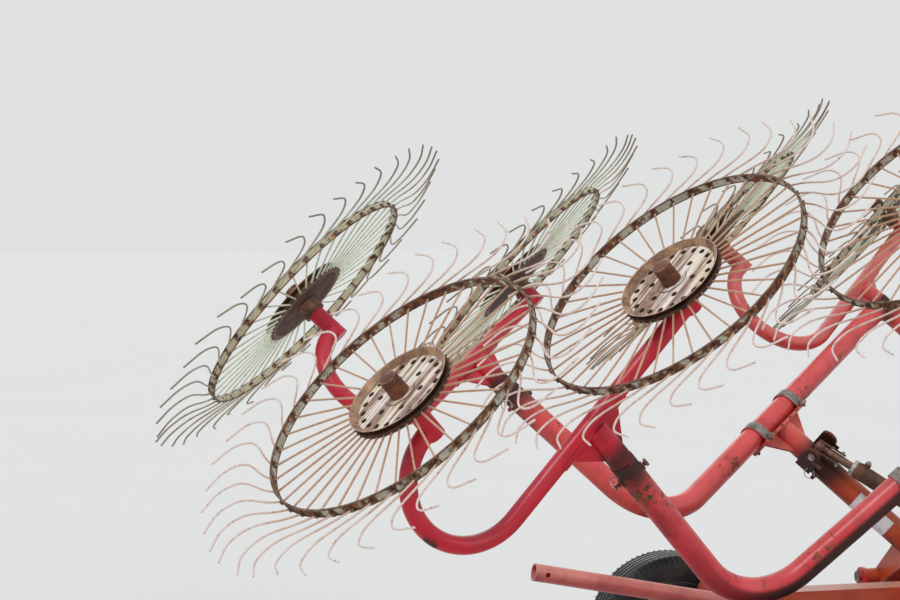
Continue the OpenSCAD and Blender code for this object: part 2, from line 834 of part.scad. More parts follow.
// Course of a tine outside the rim: [share of the way from rim to tip, angle swept back]
TINE_COURSE = [[-0.02, 0], [0.04, 1.5], [0.17, 7], [0.39, 15.5], [0.58, 18], [0.8, 17], [1, 12]];

// Rim band with its tines and the ring that bolts to the hub disc
module tined_ring(side, number) {
  reach = tip_r - rim_r;
  lean = asin(tip_lead / reach);
  course = [
    for (c = TINE_COURSE)
      (rim_r + reach * c[0]) * [cos(c[1]), sin(c[1])] - [rim_r, 0]
  ];
  hook = strip(course, wire);
  color(rust)
    wheel_axes(side, number) {
      difference() {
        cylinder(r = rim_r + rim_plate / 2, h = rim_band, center = true, $fn = 80);
        cylinder(r = rim_r - rim_plate / 2, h = rim_band + 2, center = true, $fn = 80);
      }
      difference() {
        translate([0, 0, -disc_plate / 2 - wire]) cylinder(r = disc_r, h = wire);
        translate([0, 0, -disc_plate / 2 - wire - 1]) cylinder(r = ring_seat, h = wire + 2);
      }
      for (i = [0:tines - 1])
        rotate([0, 0, i * 360 / tines]) {
          translate([disc_r - 12, -wire / 2, -disc_plate / 2 - wire])
            cube([rim_r - disc_r + 12, wire, wire]);
          translate([rim_r, 0, -disc_plate / 2 - wire])
            rotate([0, -lean, 0])
              linear_extrude(wire)
                polygon(hook);
        }
    }
}

// Hub disc with its two rings of holes, bearing housing behind and cap in front
module hub(side, number) {
  color(cream)
    wheel_axes(side, number)
      difference() {
        union() {
          translate([0, 0, -disc_plate / 2]) cylinder(r = disc_r, h = disc_plate);
          translate([0, 0, -hub_back + seat]) cylinder(d = 76, h = hub_back);
          cylinder(d = cap_d, h = cap_h);
        }
        translate([0, 0, -hub_back - 1])
          cylinder(d = rake_spindle_d + 2 * running, h = hub_back + 1 + spindle_end + seat);
        for (i = [0:disc_holes - 1])
          rotate([0, 0, i * 360 / disc_holes])
            translate([disc_r - 45, 0, -10])
              cylinder(d = disc_hole_d, h = 20);
        for (i = [0:5])
          rotate([0, 0, 60 * i])
            translate([disc_r / 2 - 10, 0, -10])
              cylinder(d = disc_hole_d, h = 20);
      }
}

in_part_axes() backbone();
in_part_axes() hitch_clevis();
in_part_axes() axle();
in_part_axes() cross_beam();
in_part_axes() lift_anchor();
in_part_axes() tail_tube();
in_part_axes() jack_sleeve();
in_part_axes() jack_leg();
in_part_axes() tyre(RIGHT);  // tyre_right
in_part_axes() tyre(LEFT);  // tyre_left
in_part_axes() road_wheel(RIGHT);  // road_wheel_right
in_part_axes() road_wheel(LEFT);  // road_wheel_left
in_part_axes() lift_barrel(RIGHT);  // lift_barrel_right
in_part_axes() lift_barrel(LEFT);  // lift_barrel_left
in_part_axes() lift_rod(RIGHT);  // lift_rod_right
in_part_axes() lift_rod(LEFT);  // lift_rod_left
in_part_axes() boom(RIGHT);  // boom_right
in_part_axes() boom(LEFT);  // boom_left
in_part_axes() beam_clamp(RIGHT);  // beam_clamp_right
in_part_axes() beam_clamp(LEFT);  // beam_clamp_left
in_part_axes() beam(RIGHT);  // beam_right
in_part_axes() beam(LEFT);  // beam_left
in_part_axes() rocker(RIGHT, REAR);  // rocker_right_rear
in_part_axes() rocker(RIGHT, FRONT);  // rocker_right_front
in_part_axes() rocker(LEFT, REAR);  // rocker_left_rear
in_part_axes() rocker(LEFT, FRONT);  // rocker_left_front
in_part_axes() tined_ring(RIGHT, 1);  // tined_ring_right_1
in_part_axes() tined_ring(RIGHT, 2);  // tined_ring_right_2
in_part_axes() tined_ring(RIGHT, 3);  // tined_ring_right_3
in_part_axes() tined_ring(RIGHT, 4);  // tined_ring_right_4
in_part_axes() tined_ring(LEFT, 1);  // tined_ring_left_1
in_part_axes() tined_ring(LEFT, 2);  // tined_ring_left_2
in_part_axes() tined_ring(LEFT, 3);  // tined_ring_left_3
in_part_axes() tined_ring(LEFT, 4);  // tined_ring_left_4
in_part_axes() hub(RIGHT, 1);  // hub_right_1
in_part_axes() hub(RIGHT, 2);  // hub_right_2
in_part_axes() hub(RIGHT, 3);  // hub_right_3
in_part_axes() hub(RIGHT, 4);  // hub_right_4
in_part_axes() hub(LEFT, 1);  // hub_left_1
in_part_axes() hub(LEFT, 2);  // hub_left_2
in_part_axes() hub(LEFT, 3);  // hub_left_3
in_part_axes() hub(LEFT, 4);  // hub_left_4
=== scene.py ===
"""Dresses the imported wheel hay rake: wire tines, tyres, hoses, fasteners, paint, light and camera."""

import json
import math

import bpy
import numpy as np
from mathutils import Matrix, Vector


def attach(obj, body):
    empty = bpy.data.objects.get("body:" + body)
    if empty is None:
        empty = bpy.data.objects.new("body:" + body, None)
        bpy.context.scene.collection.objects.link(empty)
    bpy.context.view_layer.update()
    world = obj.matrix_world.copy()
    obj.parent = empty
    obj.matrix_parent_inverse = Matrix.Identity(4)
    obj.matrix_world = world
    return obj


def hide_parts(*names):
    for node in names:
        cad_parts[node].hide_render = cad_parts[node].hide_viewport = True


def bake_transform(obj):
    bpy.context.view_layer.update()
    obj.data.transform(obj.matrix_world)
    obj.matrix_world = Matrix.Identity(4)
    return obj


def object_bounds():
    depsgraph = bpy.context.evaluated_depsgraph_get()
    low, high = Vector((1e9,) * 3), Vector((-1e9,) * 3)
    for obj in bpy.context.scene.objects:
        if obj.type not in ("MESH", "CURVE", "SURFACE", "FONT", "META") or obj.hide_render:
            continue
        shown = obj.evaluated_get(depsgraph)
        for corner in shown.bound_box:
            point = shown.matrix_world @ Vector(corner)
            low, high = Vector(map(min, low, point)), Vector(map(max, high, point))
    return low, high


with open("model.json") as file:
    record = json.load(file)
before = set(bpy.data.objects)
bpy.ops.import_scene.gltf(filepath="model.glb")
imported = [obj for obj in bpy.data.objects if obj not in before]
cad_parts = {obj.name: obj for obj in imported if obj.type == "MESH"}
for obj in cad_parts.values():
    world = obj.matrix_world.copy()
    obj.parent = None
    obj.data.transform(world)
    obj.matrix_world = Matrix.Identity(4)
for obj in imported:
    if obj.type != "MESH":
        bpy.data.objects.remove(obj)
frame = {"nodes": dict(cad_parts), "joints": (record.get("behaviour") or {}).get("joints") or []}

bl_info = {
    "name": "Wheel hay rake",
    "version": (1, 0, 0),
    "blender": (4, 5, 0),
    "location": "3D View > Sidebar > Hay Rake",
    "description": "Dresses the packed wheel hay rake with tines, tyres, hoses, paint and light",
    "category": "Object",
}

CAD_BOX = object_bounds()
JOINTS = {joint["name"]: joint for joint in frame["joints"]}
SIDE_SIGN = {"right": -1, "left": 1}
WHEELS = [(side, number) for side in SIDE_SIGN for number in (1, 2, 3, 4)]
ROCKER_WHEELS = {"rear": (1, 2), "front": (3, 4)}
X, Y, Z = np.eye(3)

# Sizes that the source gives, in metres
TINES = 40
RIM_R = 0.485
TIP_R = 0.752
TIP_LEAD = 0.03
DISC_FACE = 0.003
WIRE_BACK = 0.0065
CAP_R = 0.029
CAP_H = 0.072
BEAM_R = 0.04445
BOOM_R = 0.05
ROCKER_R = 0.03015
MOUTH_Y = {"rear": -0.17, "front": -0.092}
BOOM_PIN = (0, -0.275, 0)
BEAM_PINS = ((-0.835, 0.728, 0), (0.97, -0.04, 0))
CLAMP_REACH = 0.13
TONGUE_W = 0.12
TONGUE_TOP = 0.58
TONGUE_END = 2.865
JACK_X = 2.45
TYRE_R = 0.315
TYRE_HALF = 0.0975
RIM_BEAD = 0.1905
BARREL_R = 0.033
BARREL_LENGTH = 0.545
PORTS = (0.09, BARREL_LENGTH - 0.045)
LUG_RISE = 0.095
LUG_BACK = 0.22

# Sizes that only the looks have
HUB_R = 0.045
FACE_SHRINK = 0.95
PAN_FACE_R = 0.159
PAN_LIP_R = 0.179
RING_R = 0.178
HOSE_R = 0.0085
HOSE_Y = 0.022
HOSE_Z = TONGUE_TOP + HOSE_R

# How far each wheel stands turned, in degrees
WHEEL_TURN = {"right": (0, 4, 2, 6), "left": (3, 1, 5, 2)}

# Course of a tine outside the rim: (share of the way from rim to tip, angle swept back)
TINE_COURSE = ((-0.02, 0), (0.04, 1.5), (0.17, 7), (0.39, 15.5), (0.58, 18), (0.8, 17), (1, 12))


# Places: each body's own axes in the row frame

def unit(v):
    return np.asarray(v, float) / np.linalg.norm(v)


def square_to(v, axis):
    return unit(v - (v @ axis) * axis)


def joint_point(name):
    return np.array(JOINTS[name]["pos_m"], float)


def joint_axis(name):
    return np.array(JOINTS[name]["axis"], float)


class Place:
    """An origin and three axes, which on the right side are mirrored."""

    def __init__(self, origin, x, y, z):
        self.origin = np.asarray(origin, float)
        self.axes = np.array([x, y, z], float)
        self.mirrored = np.linalg.det(self.axes) < 0

    def world(self, points):
        return np.asarray(points, float) @ self.axes + self.origin

    def local(self, points):
        return (np.asarray(points, float) - self.origin) @ self.axes.T


def boom_out(side):
    """Unit vector out along a boom, which every swivel and rake spindle of that side shares."""
    return joint_axis(f"rake_spin_{side}_1")


def along_from(side, joint, first, second):
    """Unit vector from one of a side's joints to another, square to its boom."""
    run = joint_point(f"{joint}_{side}_{second}") - joint_point(f"{joint}_{side}_{first}")
    return square_to(run, boom_out(side))


def swivel_place(side, joint, along):
    """Origin on a swivel, X along the swivelling piece, Y out."""
    out = boom_out(side)
    return Place(joint_point(joint), along, out, SIDE_SIGN[side] * np.cross(along, out))


def wheel_place(side, number):
    """Origin in the wheel's middle plane, Z out along its spindle."""
    out = boom_out(side)
    along = along_from(side, "rake_spin", *ROCKER_WHEELS["rear" if number < 3 else "front"])
    turn = math.radians(WHEEL_TURN[side][number - 1])
    across = SIDE_SIGN[side] * np.cross(out, along)
    x = math.cos(turn) * along + math.sin(turn) * across
    y = -math.sin(turn) * along + math.cos(turn) * across
    return Place(joint_point(f"rake_spin_{side}_{number}"), x, y, out)


def rocker_place(side, end):
    """Origin on the rocker's pivot, X along the rocker, Y out."""
    along = along_from(side, "rake_spin", *ROCKER_WHEELS[end])
    return swivel_place(side, f"rocker_swivel_{side}_{end}", along)


def beam_place(side):
    """Origin where boom and beam cross, X along the beam, Y out."""
    return swivel_place(side, f"beam_swivel_{side}", along_from(side, "rocker_swivel", "rear", "front"))


def boom_place(side):
    """Origin where boom and beam cross, Y out along the boom, Z away from the hinge."""
    out = boom_out(side)
    here = joint_point(f"beam_swivel_{side}")
    rise = -square_to(joint_point(f"boom_fold_{side}") - here, out)
    return Place(here, SIDE_SIGN[side] * np.cross(out, rise), out, rise)


def barrel_place(side):
    """Origin on the base pin, Z along the lift cylinder."""
    run = unit(joint_axis(f"lift_rod_slide_{side}"))
    pin = square_to(joint_axis(f"lift_barrel_swing_{side}"), run)
    return Place(joint_point(f"lift_barrel_swing_{side}"), pin, np.cross(run, pin), run)


def road_place(side):
    """Origin in the road wheel's middle, Z outward."""
    sign = SIDE_SIGN[side]
    return Place(joint_point(f"carrier_spin_{side}"), X, -sign * Z, sign * Y)


FLOOR_Z = CAD_BOX[0].z
ROW = Place((0, 0, 0), X, Y, Z)
GROUND = Place((joint_point("carrier_spin_right")[0], 0, FLOOR_Z), X, Y, Z)


# Forms: points and faces gathered in a place's axes, then made into one mesh

def round_turn(count):
    """Angles of a whole turn, evenly spaced."""
    return np.linspace(0, 2 * math.pi, count, endpoint=False)


def circle(radius, angles, centre, across, up):
    """Points round a centre at these angles, in the plane of two directions."""
    angles = np.asarray(angles)[:, None]
    return np.asarray(centre, float) + radius * (np.cos(angles) * across + np.sin(angles) * up)


def turned(points, angle):
    """Points turned about Z."""
    c, s = math.cos(angle), math.sin(angle)
    points = np.asarray(points, float)
    x, y, z = points.T
    return np.column_stack([c * x - s * y, s * x + c * y, z])


def band(inner, outer, start, end):
    """Section of a flat ring, for a lathe."""
    return [(inner, start), (outer, start), (outer, end), (inner, end)]


def smooth_course(points, steps):
    """A Catmull-Rom curve through the points."""
    points = np.asarray(points, float)
    ends = np.vstack([2 * points[0] - points[1], points, 2 * points[-1] - points[-2]])
    out = []
    for i in range(1, len(ends) - 2):
        a, b, c, d = ends[i - 1:i + 3]
        for t in np.linspace(0, 1, steps, endpoint=False):
            out.append(0.5 * (2 * b + (c - a) * t + (2 * a - 5 * b + 4 * c - d) * t ** 2
                              + (3 * b - a - 3 * c + d) * t ** 3))
    out.append(points[-1])
    return np.array(out)


def looks_inward(rings, closed):
    """True where a skin of rings, with its caps, bounds less than no volume."""
    skin = np.asarray(rings, float) - np.mean(rings, axis=(0, 1))
    here, beyond = (skin, np.roll(skin, -1, 0)) if closed else (skin[:-1], skin[1:])
    beside, across = np.roll(here, -1, 1), np.roll(beyond, -1, 1)
    volume = (np.cross(here, beside) * across).sum() + (np.cross(here, across) * beyond).sum()
    if not closed:
        for ring, way in ((skin[0], -1), (skin[-1], 1)):
            volume += way * (np.cross(ring, np.roll(ring, -1, 0)) @ ring.mean(0)).sum()
    return volume < 0


class Form:
    """Points, faces, material numbers and one mark per point."""

    def __init__(self, place):
        self.place = place
        self.points = []
        self.faces = []
        self.slots = []
        self.marks = []

    def add(self, points, faces, slot=0, marks=None):
        start = len(self.points)
        self.points.extend(tuple(p) for p in points)
        self.faces.extend(tuple(start + i for i in face) for face in faces)
        self.slots.extend([slot] * len(faces))
        self.marks.extend(marks if marks is not None else [0.0] * len(points))

    def grid(self, rings, closed=False, slot=0, marks=None, caps=True):
        """A skin over rings of points. closed joins the last ring to the first."""
        rows, columns = len(rings), len(rings[0])
        faces = []
        for i in range(rows if closed else rows - 1):
            for k in range(columns):
                a, b = i * columns, (i + 1) % rows * columns
                faces.append((a + k, a + (k + 1) % columns, b + (k + 1) % columns, b + k))
        if caps and not closed:
            faces.append(tuple(range(columns - 1, -1, -1)))
            faces.append(tuple((rows - 1) * columns + k for k in range(columns)))
        if (closed or caps) and looks_inward(rings, closed):
            faces = [face[::-1] for face in faces]
        self.add([p for ring in rings for p in ring], faces, slot, marks)

    def tube(self, path, radius, sides=8, slot=0, marks=None, closed=False):
        """A round rod along a path. radius is one number, or one for each point."""
        path = np.asarray(path, float)
        radii = np.broadcast_to(np.asarray(radius, float), len(path))
        runs = np.roll(path, -1, 0) - np.roll(path, 1, 0) if closed else np.gradient(path, axis=0)
        runs /= np.linalg.norm(runs, axis=1)[:, None]
        side = np.cross(runs[0], Z if abs(runs[0][2]) < 0.9 else X)
        rings = []
        for point, run, r in zip(path, runs, radii):
            side = square_to(side, run)
            rings.append(circle(r, round_turn(sides), point, side, np.cross(run, side)))
        if marks is not None:
            marks = [m for m in marks for _ in range(sides)]
        self.grid(rings, closed, slot, marks)

    def rod(self, start, end, radius, sides=16, slot=0):
        self.tube([start, end], radius, sides, slot)

    def lathe(self, profile, segments, slot=0, centre=(0, 0, 0), marks=None, loop=True, caps=True):
        """A profile of (radius, height) turned about Z. loop joins its ends, caps close them."""
        rings = [circle(r, round_turn(segments), centre + h * Z, -X, -Y) for r, h in profile]
        all_marks = None if marks is None else marks * len(profile)
        self.grid(rings, loop, slot, all_marks, caps)

    def box(self, centre, size, slot=0, axes=(X, Y, Z)):
        half = np.array(size, float) / 2
        signs = [(x, y, z) for x in (-1, 1) for y in (-1, 1) for z in (-1, 1)]
        points = [np.asarray(centre, float) + (half * s) @ np.array(axes) for s in signs]
        faces = [(0, 1, 3, 2), (4, 6, 7, 5), (0, 4, 5, 1), (2, 3, 7, 6), (0, 2, 6, 4), (1, 5, 7, 3)]
        self.add(points, faces, slot)

    def bolt(self, base, axis, radius, slot=0, washer=True):
        """Washer, hexagon head and the end of the thread."""
        axis = unit(axis)
        base = np.asarray(base, float)
        if washer:
            self.rod(base - 0.1 * radius * axis, base + 0.25 * radius * axis, 1.15 * radius, 20, slot)
        self.rod(base, base + 0.8 * radius * axis, radius, 6, slot)
        self.rod(base, base + 1.15 * radius * axis, 0.52 * radius, 12, slot)

    def make(self, name, finishes, body, replaces=(), sharp=35):
        """The mesh object, riding on its body. A piece with no body rides on none; its operator bakes its place
        into its points.
        """
        mesh = bpy.data.meshes.new(name)
        faces = [face[::-1] for face in self.faces] if self.place.mirrored else self.faces
        mesh.from_pydata([tuple(p) for p in self.place.world(self.points)], [], faces)
        for finish in finishes:
            mesh.materials.append(FINISHES[finish])
        mesh.polygons.foreach_set("material_index", self.slots)
        mark = mesh.attributes.new("mark", "FLOAT", "POINT")
        mark.data.foreach_set("value", self.marks)
        mesh.shade_smooth()
        mesh.set_sharp_from_angle(angle=math.radians(sharp))
        mesh.update()
        piece = bpy.data.objects.new(name, mesh)
        bpy.context.scene.collection.objects.link(piece)
        if body:
            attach(piece, body)
        if replaces:
            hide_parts(*replaces)
        return piece


# Materials

class Finish:
    """A procedural material and short calls for its nodes. Patterns are laid in object coordinates."""

    def __init__(self, name, rough=0.5, metal=0.0, level=0.5):
        self.material = bpy.data.materials.new(name)
        self.material.use_nodes = True
        self.tree = self.material.node_tree
        self.shader = self.tree.nodes["Principled BSDF"]
        self.shader.inputs["Roughness"].default_value = rough
        self.shader.inputs["Metallic"].default_value = metal
        self.shader.inputs["Specular IOR Level"].default_value = level
        self.coordinates = self.tree.nodes.new("ShaderNodeTexCoord")
        self.place = self.coordinates.outputs["Object"]

    def node(self, kind, **settings):
        made = self.tree.nodes.new(kind)
        for key, value in settings.items():
            setattr(made, key, value)
        return made

    def put(self, value, socket):
        """Links an output, or sets a plain value."""
        if isinstance(value, bpy.types.NodeSocket):
            self.tree.links.new(value, socket)
        else:
            socket.default_value = value

    def math(self, operation, a, b=0.0, clamp=False):
        made = self.node("ShaderNodeMath", operation=operation, use_clamp=clamp)
        self.put(a, made.inputs[0])
        self.put(b, made.inputs[1])
        return made.outputs[0]

    def plus(self, a, b, clamp=False):
        return self.math("ADD", a, b, clamp)

    def minus(self, a, b):
        return self.math("SUBTRACT", a, b)

    def times(self, a, b):
        return self.math("MULTIPLY", a, b)

    def larger(self, a, b):
        return self.math("MAXIMUM", a, b)

    def noise(self, scale, detail=4.0, rough=0.55, place=None):
        made = self.node("ShaderNodeTexNoise")
        self.put(place or self.place, made.inputs["Vector"])
        made.inputs["Scale"].default_value = scale
        made.inputs["Detail"].default_value = detail
        made.inputs["Roughness"].default_value = rough
        return made.outputs["Fac"]

    def between(self, value, low, high):
        """0 at low, 1 at high, smooth between them."""
        made = self.node("ShaderNodeMapRange", interpolation_type="SMOOTHSTEP")
        self.put(value, made.inputs["Value"])
        made.inputs["From Min"].default_value = low
        made.inputs["From Max"].default_value = high
        return made.outputs["Result"]

    def patches(self, scale, detail, rough, low, high):
        """Noise that is 0 below one level and 1 above another."""
        return self.between(self.noise(scale, detail, rough), low, high)

    def mix(self, share, a, b):
        made = self.node("ShaderNodeMix", data_type="RGBA")
        self.put(share, made.inputs["Factor"])
        self.put(a if isinstance(a, bpy.types.NodeSocket) else (*a, 1.0), made.inputs["A"])
        self.put(b if isinstance(b, bpy.types.NodeSocket) else (*b, 1.0), made.inputs["B"])
        return made.outputs["Result"]

    def measure(self, operation, value, vector):
        made = self.node("ShaderNodeVectorMath", operation=operation)
        self.put(value, made.inputs[0])
        made.inputs[1].default_value = tuple(vector)
        return made.outputs["Value"]

    def dot(self, direction):
        """How far a point lies along a direction."""
        return self.measure("DOT_PRODUCT", self.place, direction)

    def facing(self, direction):
        """How much the surface faces a direction of the row frame, from -1 to 1."""
        return self.measure("DOT_PRODUCT", self.coordinates.outputs["Normal"], direction)

    def near(self, point, reach):
        """1 at a point, falling to 0 at its reach."""
        return self.between(self.measure("DISTANCE", self.place, point), reach, 0.35 * reach)

    def mark(self):
        return self.node("ShaderNodeAttribute", attribute_name="mark").outputs["Fac"]

    def stretched(self, along, across, third, scales):
        """Coordinates measured along three directions, each at its own scale."""
        made = self.node("ShaderNodeCombineXYZ")
        for direction, scale, socket in zip((along, across, third), scales, made.inputs):
            self.put(self.times(self.dot(direction), scale), socket)
        return made.outputs[0]

    def bump(self, height, strength, distance):
        made = self.node("ShaderNodeBump")
        made.inputs["Strength"].default_value = strength
        made.inputs["Distance"].default_value = distance
        self.put(height, made.inputs["Height"])
        self.put(made.outputs[0], self.shader.inputs["Normal"])

    def colour(self, value):
        self.put(value, self.shader.inputs["Base Color"])

    def roughness(self, value):
        self.put(value, self.shader.inputs["Roughness"])


RUST_DARK = (0.075, 0.028, 0.014)
RUST_WARM = (0.30, 0.105, 0.035)
# Near-black for real grease at the pivots and for painted shade on the paint's downward faces.
GREASE_AND_SHADE = (0.022, 0.013, 0.010)


def rust_colour(f, scale):
    return f.mix(f.patches(scale, 6, 0.65, 0.38, 0.66), RUST_DARK, RUST_WARM)


def weathered_paint(name, fresh, faded, chips, greasy=(), under_shade=0.0, shade_points=()):
    """Old gloss paint: faded on top, chipped to rust, with painted shade in patches on its downward faces.

    greasy lists points with their reach, round which real grease darkens the paint. The last list gives points
    with their reach, round which painted shade darkens the lower and side faces.
    """
    f = Finish(name, rough=0.36, level=0.28)
    patch = f.plus(f.times(f.facing(Z), 0.32), f.noise(2.4, 5, 0.6))
    body = f.mix(f.between(patch, 0.35, 0.85), fresh, faded)
    mottled = f.mix(f.patches(11, 5, 0.65, 0.42, 0.72), body, f.mix(0.35, body, (0.12, 0.02, 0.02)))
    wide, fine = f.noise(4.2, 3, 0.5), f.noise(46, 7, 0.72)
    chip = f.between(f.plus(f.times(wide, 0.9), fine), 1.30 - chips, 1.36 - chips)
    speck = f.patches(130, 2, 0.5, 0.70, 0.75)
    bare = f.larger(chip, f.times(speck, f.between(wide, 0.42, 0.62)))
    painted = f.mix(bare, mottled, rust_colour(f, 60))
    # Painted shade: the downward faces darken in patches. Round the greasy points real grease darkens the paint.
    grease_and_shade = f.times(f.between(f.facing(Z), 0.05, -0.85), f.patches(7, 5, 0.6, 0.45 - under_shade, 0.75))
    for point, reach in greasy:
        grease_and_shade = f.larger(grease_and_shade, f.times(f.near(point, reach), f.patches(16, 6, 0.7, 0.12, 0.42)))
    # Painted shade on the lower and side faces round each of these points.
    for point, reach in shade_points:
        low = f.times(f.near(point, reach), f.between(f.facing(Z), 0.16, -0.16))
        grease_and_shade = f.larger(grease_and_shade, f.times(low, f.patches(9, 6, 0.7, 0.10, 0.38)))
    f.colour(f.mix(f.times(grease_and_shade, 0.95), painted, GREASE_AND_SHADE))
    dull = f.larger(f.times(bare, 0.5), f.times(grease_and_shade, 0.45))
    f.roughness(f.plus(0.31, dull, clamp=True))
    f.bump(f.minus(f.times(f.noise(90, 4, 0.6), 0.25), bare), 0.5, 0.0008)
    f.shader.inputs["Coat Weight"].default_value = 0.08
    f.shader.inputs["Coat Roughness"].default_value = 0.22
    return f.material


def wire_finish(name, base, tip):
    """Spring wire: one colour by the hub and another on its hooks, with flecks of rust."""
    f = Finish(name, rough=0.4, metal=0.2)
    worn = f.plus(f.mark(), f.times(f.minus(f.noise(9, 4, 0.6), 0.5), 0.9))
    clean = f.mix(f.between(worn, 0.15, 0.95), base, tip)
    flecks = f.patches(95, 5, 0.7, 0.54, 0.66)
    f.colour(f.mix(f.times(flecks, 0.6), clean, rust_colour(f, 120)))
    f.roughness(f.plus(0.38, f.times(flecks, 0.4)))
    f.bump(f.noise(260, 4, 0.7), 0.35, 0.0005)
    return f.material


def rim_finish(name, paint, share):
    """Rim channel: old pale paint between the tines, rusted through round each of them."""
    f = Finish(name, rough=0.6, level=0.45)
    uneven = f.plus(f.times(f.noise(7, 5, 0.6), 0.75), f.times(f.noise(48, 6, 0.7), 0.5))
    bare = f.between(f.plus(uneven, f.times(f.mark(), 0.16)), 0.72 - share, 0.80 - share)
    notch = f.between(f.mark(), 0.55, 0.95)
    pale = f.mix(f.patches(24, 5, 0.6, 0.4, 0.65), paint, f.mix(0.5, paint, (0.30, 0.25, 0.17)))
    f.colour(f.mix(f.times(notch, 0.85), f.mix(bare, pale, rust_colour(f, 42)), (0.035, 0.018, 0.012)))
    f.roughness(f.plus(0.45, f.times(bare, 0.4)))
    f.bump(f.minus(f.times(f.noise(150, 4, 0.7), 0.4), bare), 0.6, 0.0008)
    return f.material


def disc_finish(name, side, paint, share):
    """Hub disc: old paint with rust that has run down its slope in narrow streaks."""
    f = Finish(name, rough=0.46)
    out = boom_out(side)
    down = square_to(-Z, out)
    across = np.cross(out, down)
    lanes = f.stretched(down, across, out, (2.2, 70, 6))
    broad = f.stretched(down, across, out, (3.5, 22, 6))
    streak = f.plus(f.noise(1.0, 4, 0.6, lanes), f.times(f.noise(1.0, 3, 0.5, broad), 0.55))
    run = f.between(streak, 0.68 - share, 0.84 - share)
    stain = f.mix(f.patches(8, 4, 0.6, 0.35, 0.7), paint, f.mix(0.5, paint, (0.62, 0.47, 0.20)))
    wall = f.math("ABSOLUTE", f.facing(out))
    rusty = f.larger(f.times(run, 0.9), f.times(f.between(wall, 0.75, 0.35), 0.85))
    rust = f.mix(f.patches(40, 5, 0.7, 0.4, 0.65), (0.13, 0.055, 0.035), (0.33, 0.17, 0.115))
    f.colour(f.mix(rusty, stain, rust))
    f.roughness(f.plus(0.36, f.times(run, 0.4)))
    f.bump(f.noise(180, 4, 0.6), 0.3, 0.0006)
    return f.material


def rusty_iron(name, dark, warm, rough, scale):
    """Bare iron, rusted all over."""
    f = Finish(name, rough=rough, metal=0.15, level=0.4)
    pits = f.noise(170, 5, 0.7)
    rust = f.mix(f.patches(scale, 7, 0.68, 0.36, 0.66), dark, warm)
    f.colour(f.mix(f.times(f.between(pits, 0.55, 0.68), 0.6), rust, (0.035, 0.016, 0.010)))
    f.roughness(f.plus(rough - 0.15, f.times(pits, 0.35)))
    f.bump(pits, 0.5, 0.0009)
    return f.material


def bare_steel(name, colour):
    """Turned or plated steel with a few rust spots."""
    f = Finish(name, rough=0.32, metal=0.85)
    spots = f.patches(60, 6, 0.7, 0.56, 0.66)
    f.colour(f.mix(spots, f.mix(f.noise(14, 4, 0.6), colour, tuple(0.7 * c for c in colour)), RUST_WARM))
    f.roughness(f.plus(0.32, f.times(spots, 0.4)))
    f.bump(f.noise(220, 3, 0.6), 0.15, 0.0004)
    return f.material


def tyre_rubber(name):
    """Black tyre with dust in its tread and on its walls."""
    f = Finish(name, rough=0.55, level=0.35)
    dust = f.between(f.plus(f.noise(5, 6, 0.65), f.times(f.noise(80, 4, 0.7), 0.3)), 0.62, 0.95)
    low = f.times(f.between(f.dot(Z), FLOOR_Z + 0.34, FLOOR_Z + 0.02), 0.35)
    f.colour(f.mix(f.times(f.larger(dust, low), 0.45), (0.010, 0.011, 0.013), (0.13, 0.105, 0.075)))
    f.roughness(f.plus(0.42, f.times(dust, 0.4)))
    f.bump(f.noise(320, 3, 0.6), 0.25, 0.0005)
    return f.material


def hose_rubber(name):
    """Weathered black hose."""
    f = Finish(name, rough=0.5, level=0.4)
    f.colour(f.mix(f.patches(30, 5, 0.6, 0.45, 0.7), (0.012, 0.012, 0.013), (0.05, 0.047, 0.042)))
    f.bump(f.noise(400, 2, 0.5), 0.3, 0.0004)
    return f.material


def decal_film(name):
    """Blank sun-bleached label film."""
    f = Finish(name, rough=0.4)
    f.colour(f.mix(f.patches(45, 6, 0.7, 0.52, 0.66), (0.74, 0.75, 0.78), (0.42, 0.30, 0.22)))
    f.bump(f.noise(90, 3, 0.5), 0.2, 0.0003)
    return f.material


def floor_paper(name, tone):
    """Pale plain floor."""
    f = Finish(name, rough=0.9, level=0.1)
    f.colour(f.mix(f.patches(0.6, 3, 0.5, 0.3, 0.7), tone, tuple(0.99 * c for c in tone)))
    return f.material


FINISHES = {}

# Rusty finishes: (material, dark rust, warm rust, roughness, scale of its patches)
IRONS = {
    "cap": ("cap_rust", (0.055, 0.020, 0.011), (0.22, 0.080, 0.038), 0.5, 16),
    "pan": ("pan_tan", (0.16, 0.075, 0.040), (0.46, 0.29, 0.17), 0.5, 14),
    # pan_back: dark rust on the pan's back plate, and painted shade on its outer wall and ledge.
    "pan_back": ("pan_back_rust_and_shade", (0.030, 0.013, 0.008), (0.12, 0.050, 0.026), 0.7, 20),
    "pan_lip": ("pan_lip_tan", (0.30, 0.17, 0.11), (0.66, 0.50, 0.38), 0.5, 26),
    "rim_edge": ("rim_edge_rust", (0.060, 0.028, 0.018), (0.27, 0.15, 0.10), 0.55, 34),
    "cylinder": ("cylinder_rust", (0.045, 0.020, 0.013), (0.19, 0.075, 0.038), 0.62, 12),
    "rod": ("rod_brown", (0.075, 0.036, 0.024), (0.27, 0.14, 0.085), 0.42, 20),
    "jack": ("jack_rust", (0.06, 0.028, 0.018), (0.25, 0.10, 0.05), 0.65, 18),
    "band": ("band_grey", (0.11, 0.085, 0.070), (0.30, 0.27, 0.235), 0.45, 30),
    "bolt": ("bolt_rust", (0.07, 0.04, 0.03), (0.26, 0.17, 0.12), 0.5, 60),
    # slot: near-black plates for the slots and notches, painted shade for their dark insides.
    "slot": ("slot_painted_shade", (0.012, 0.008, 0.007), (0.035, 0.020, 0.014), 0.8, 30),
}


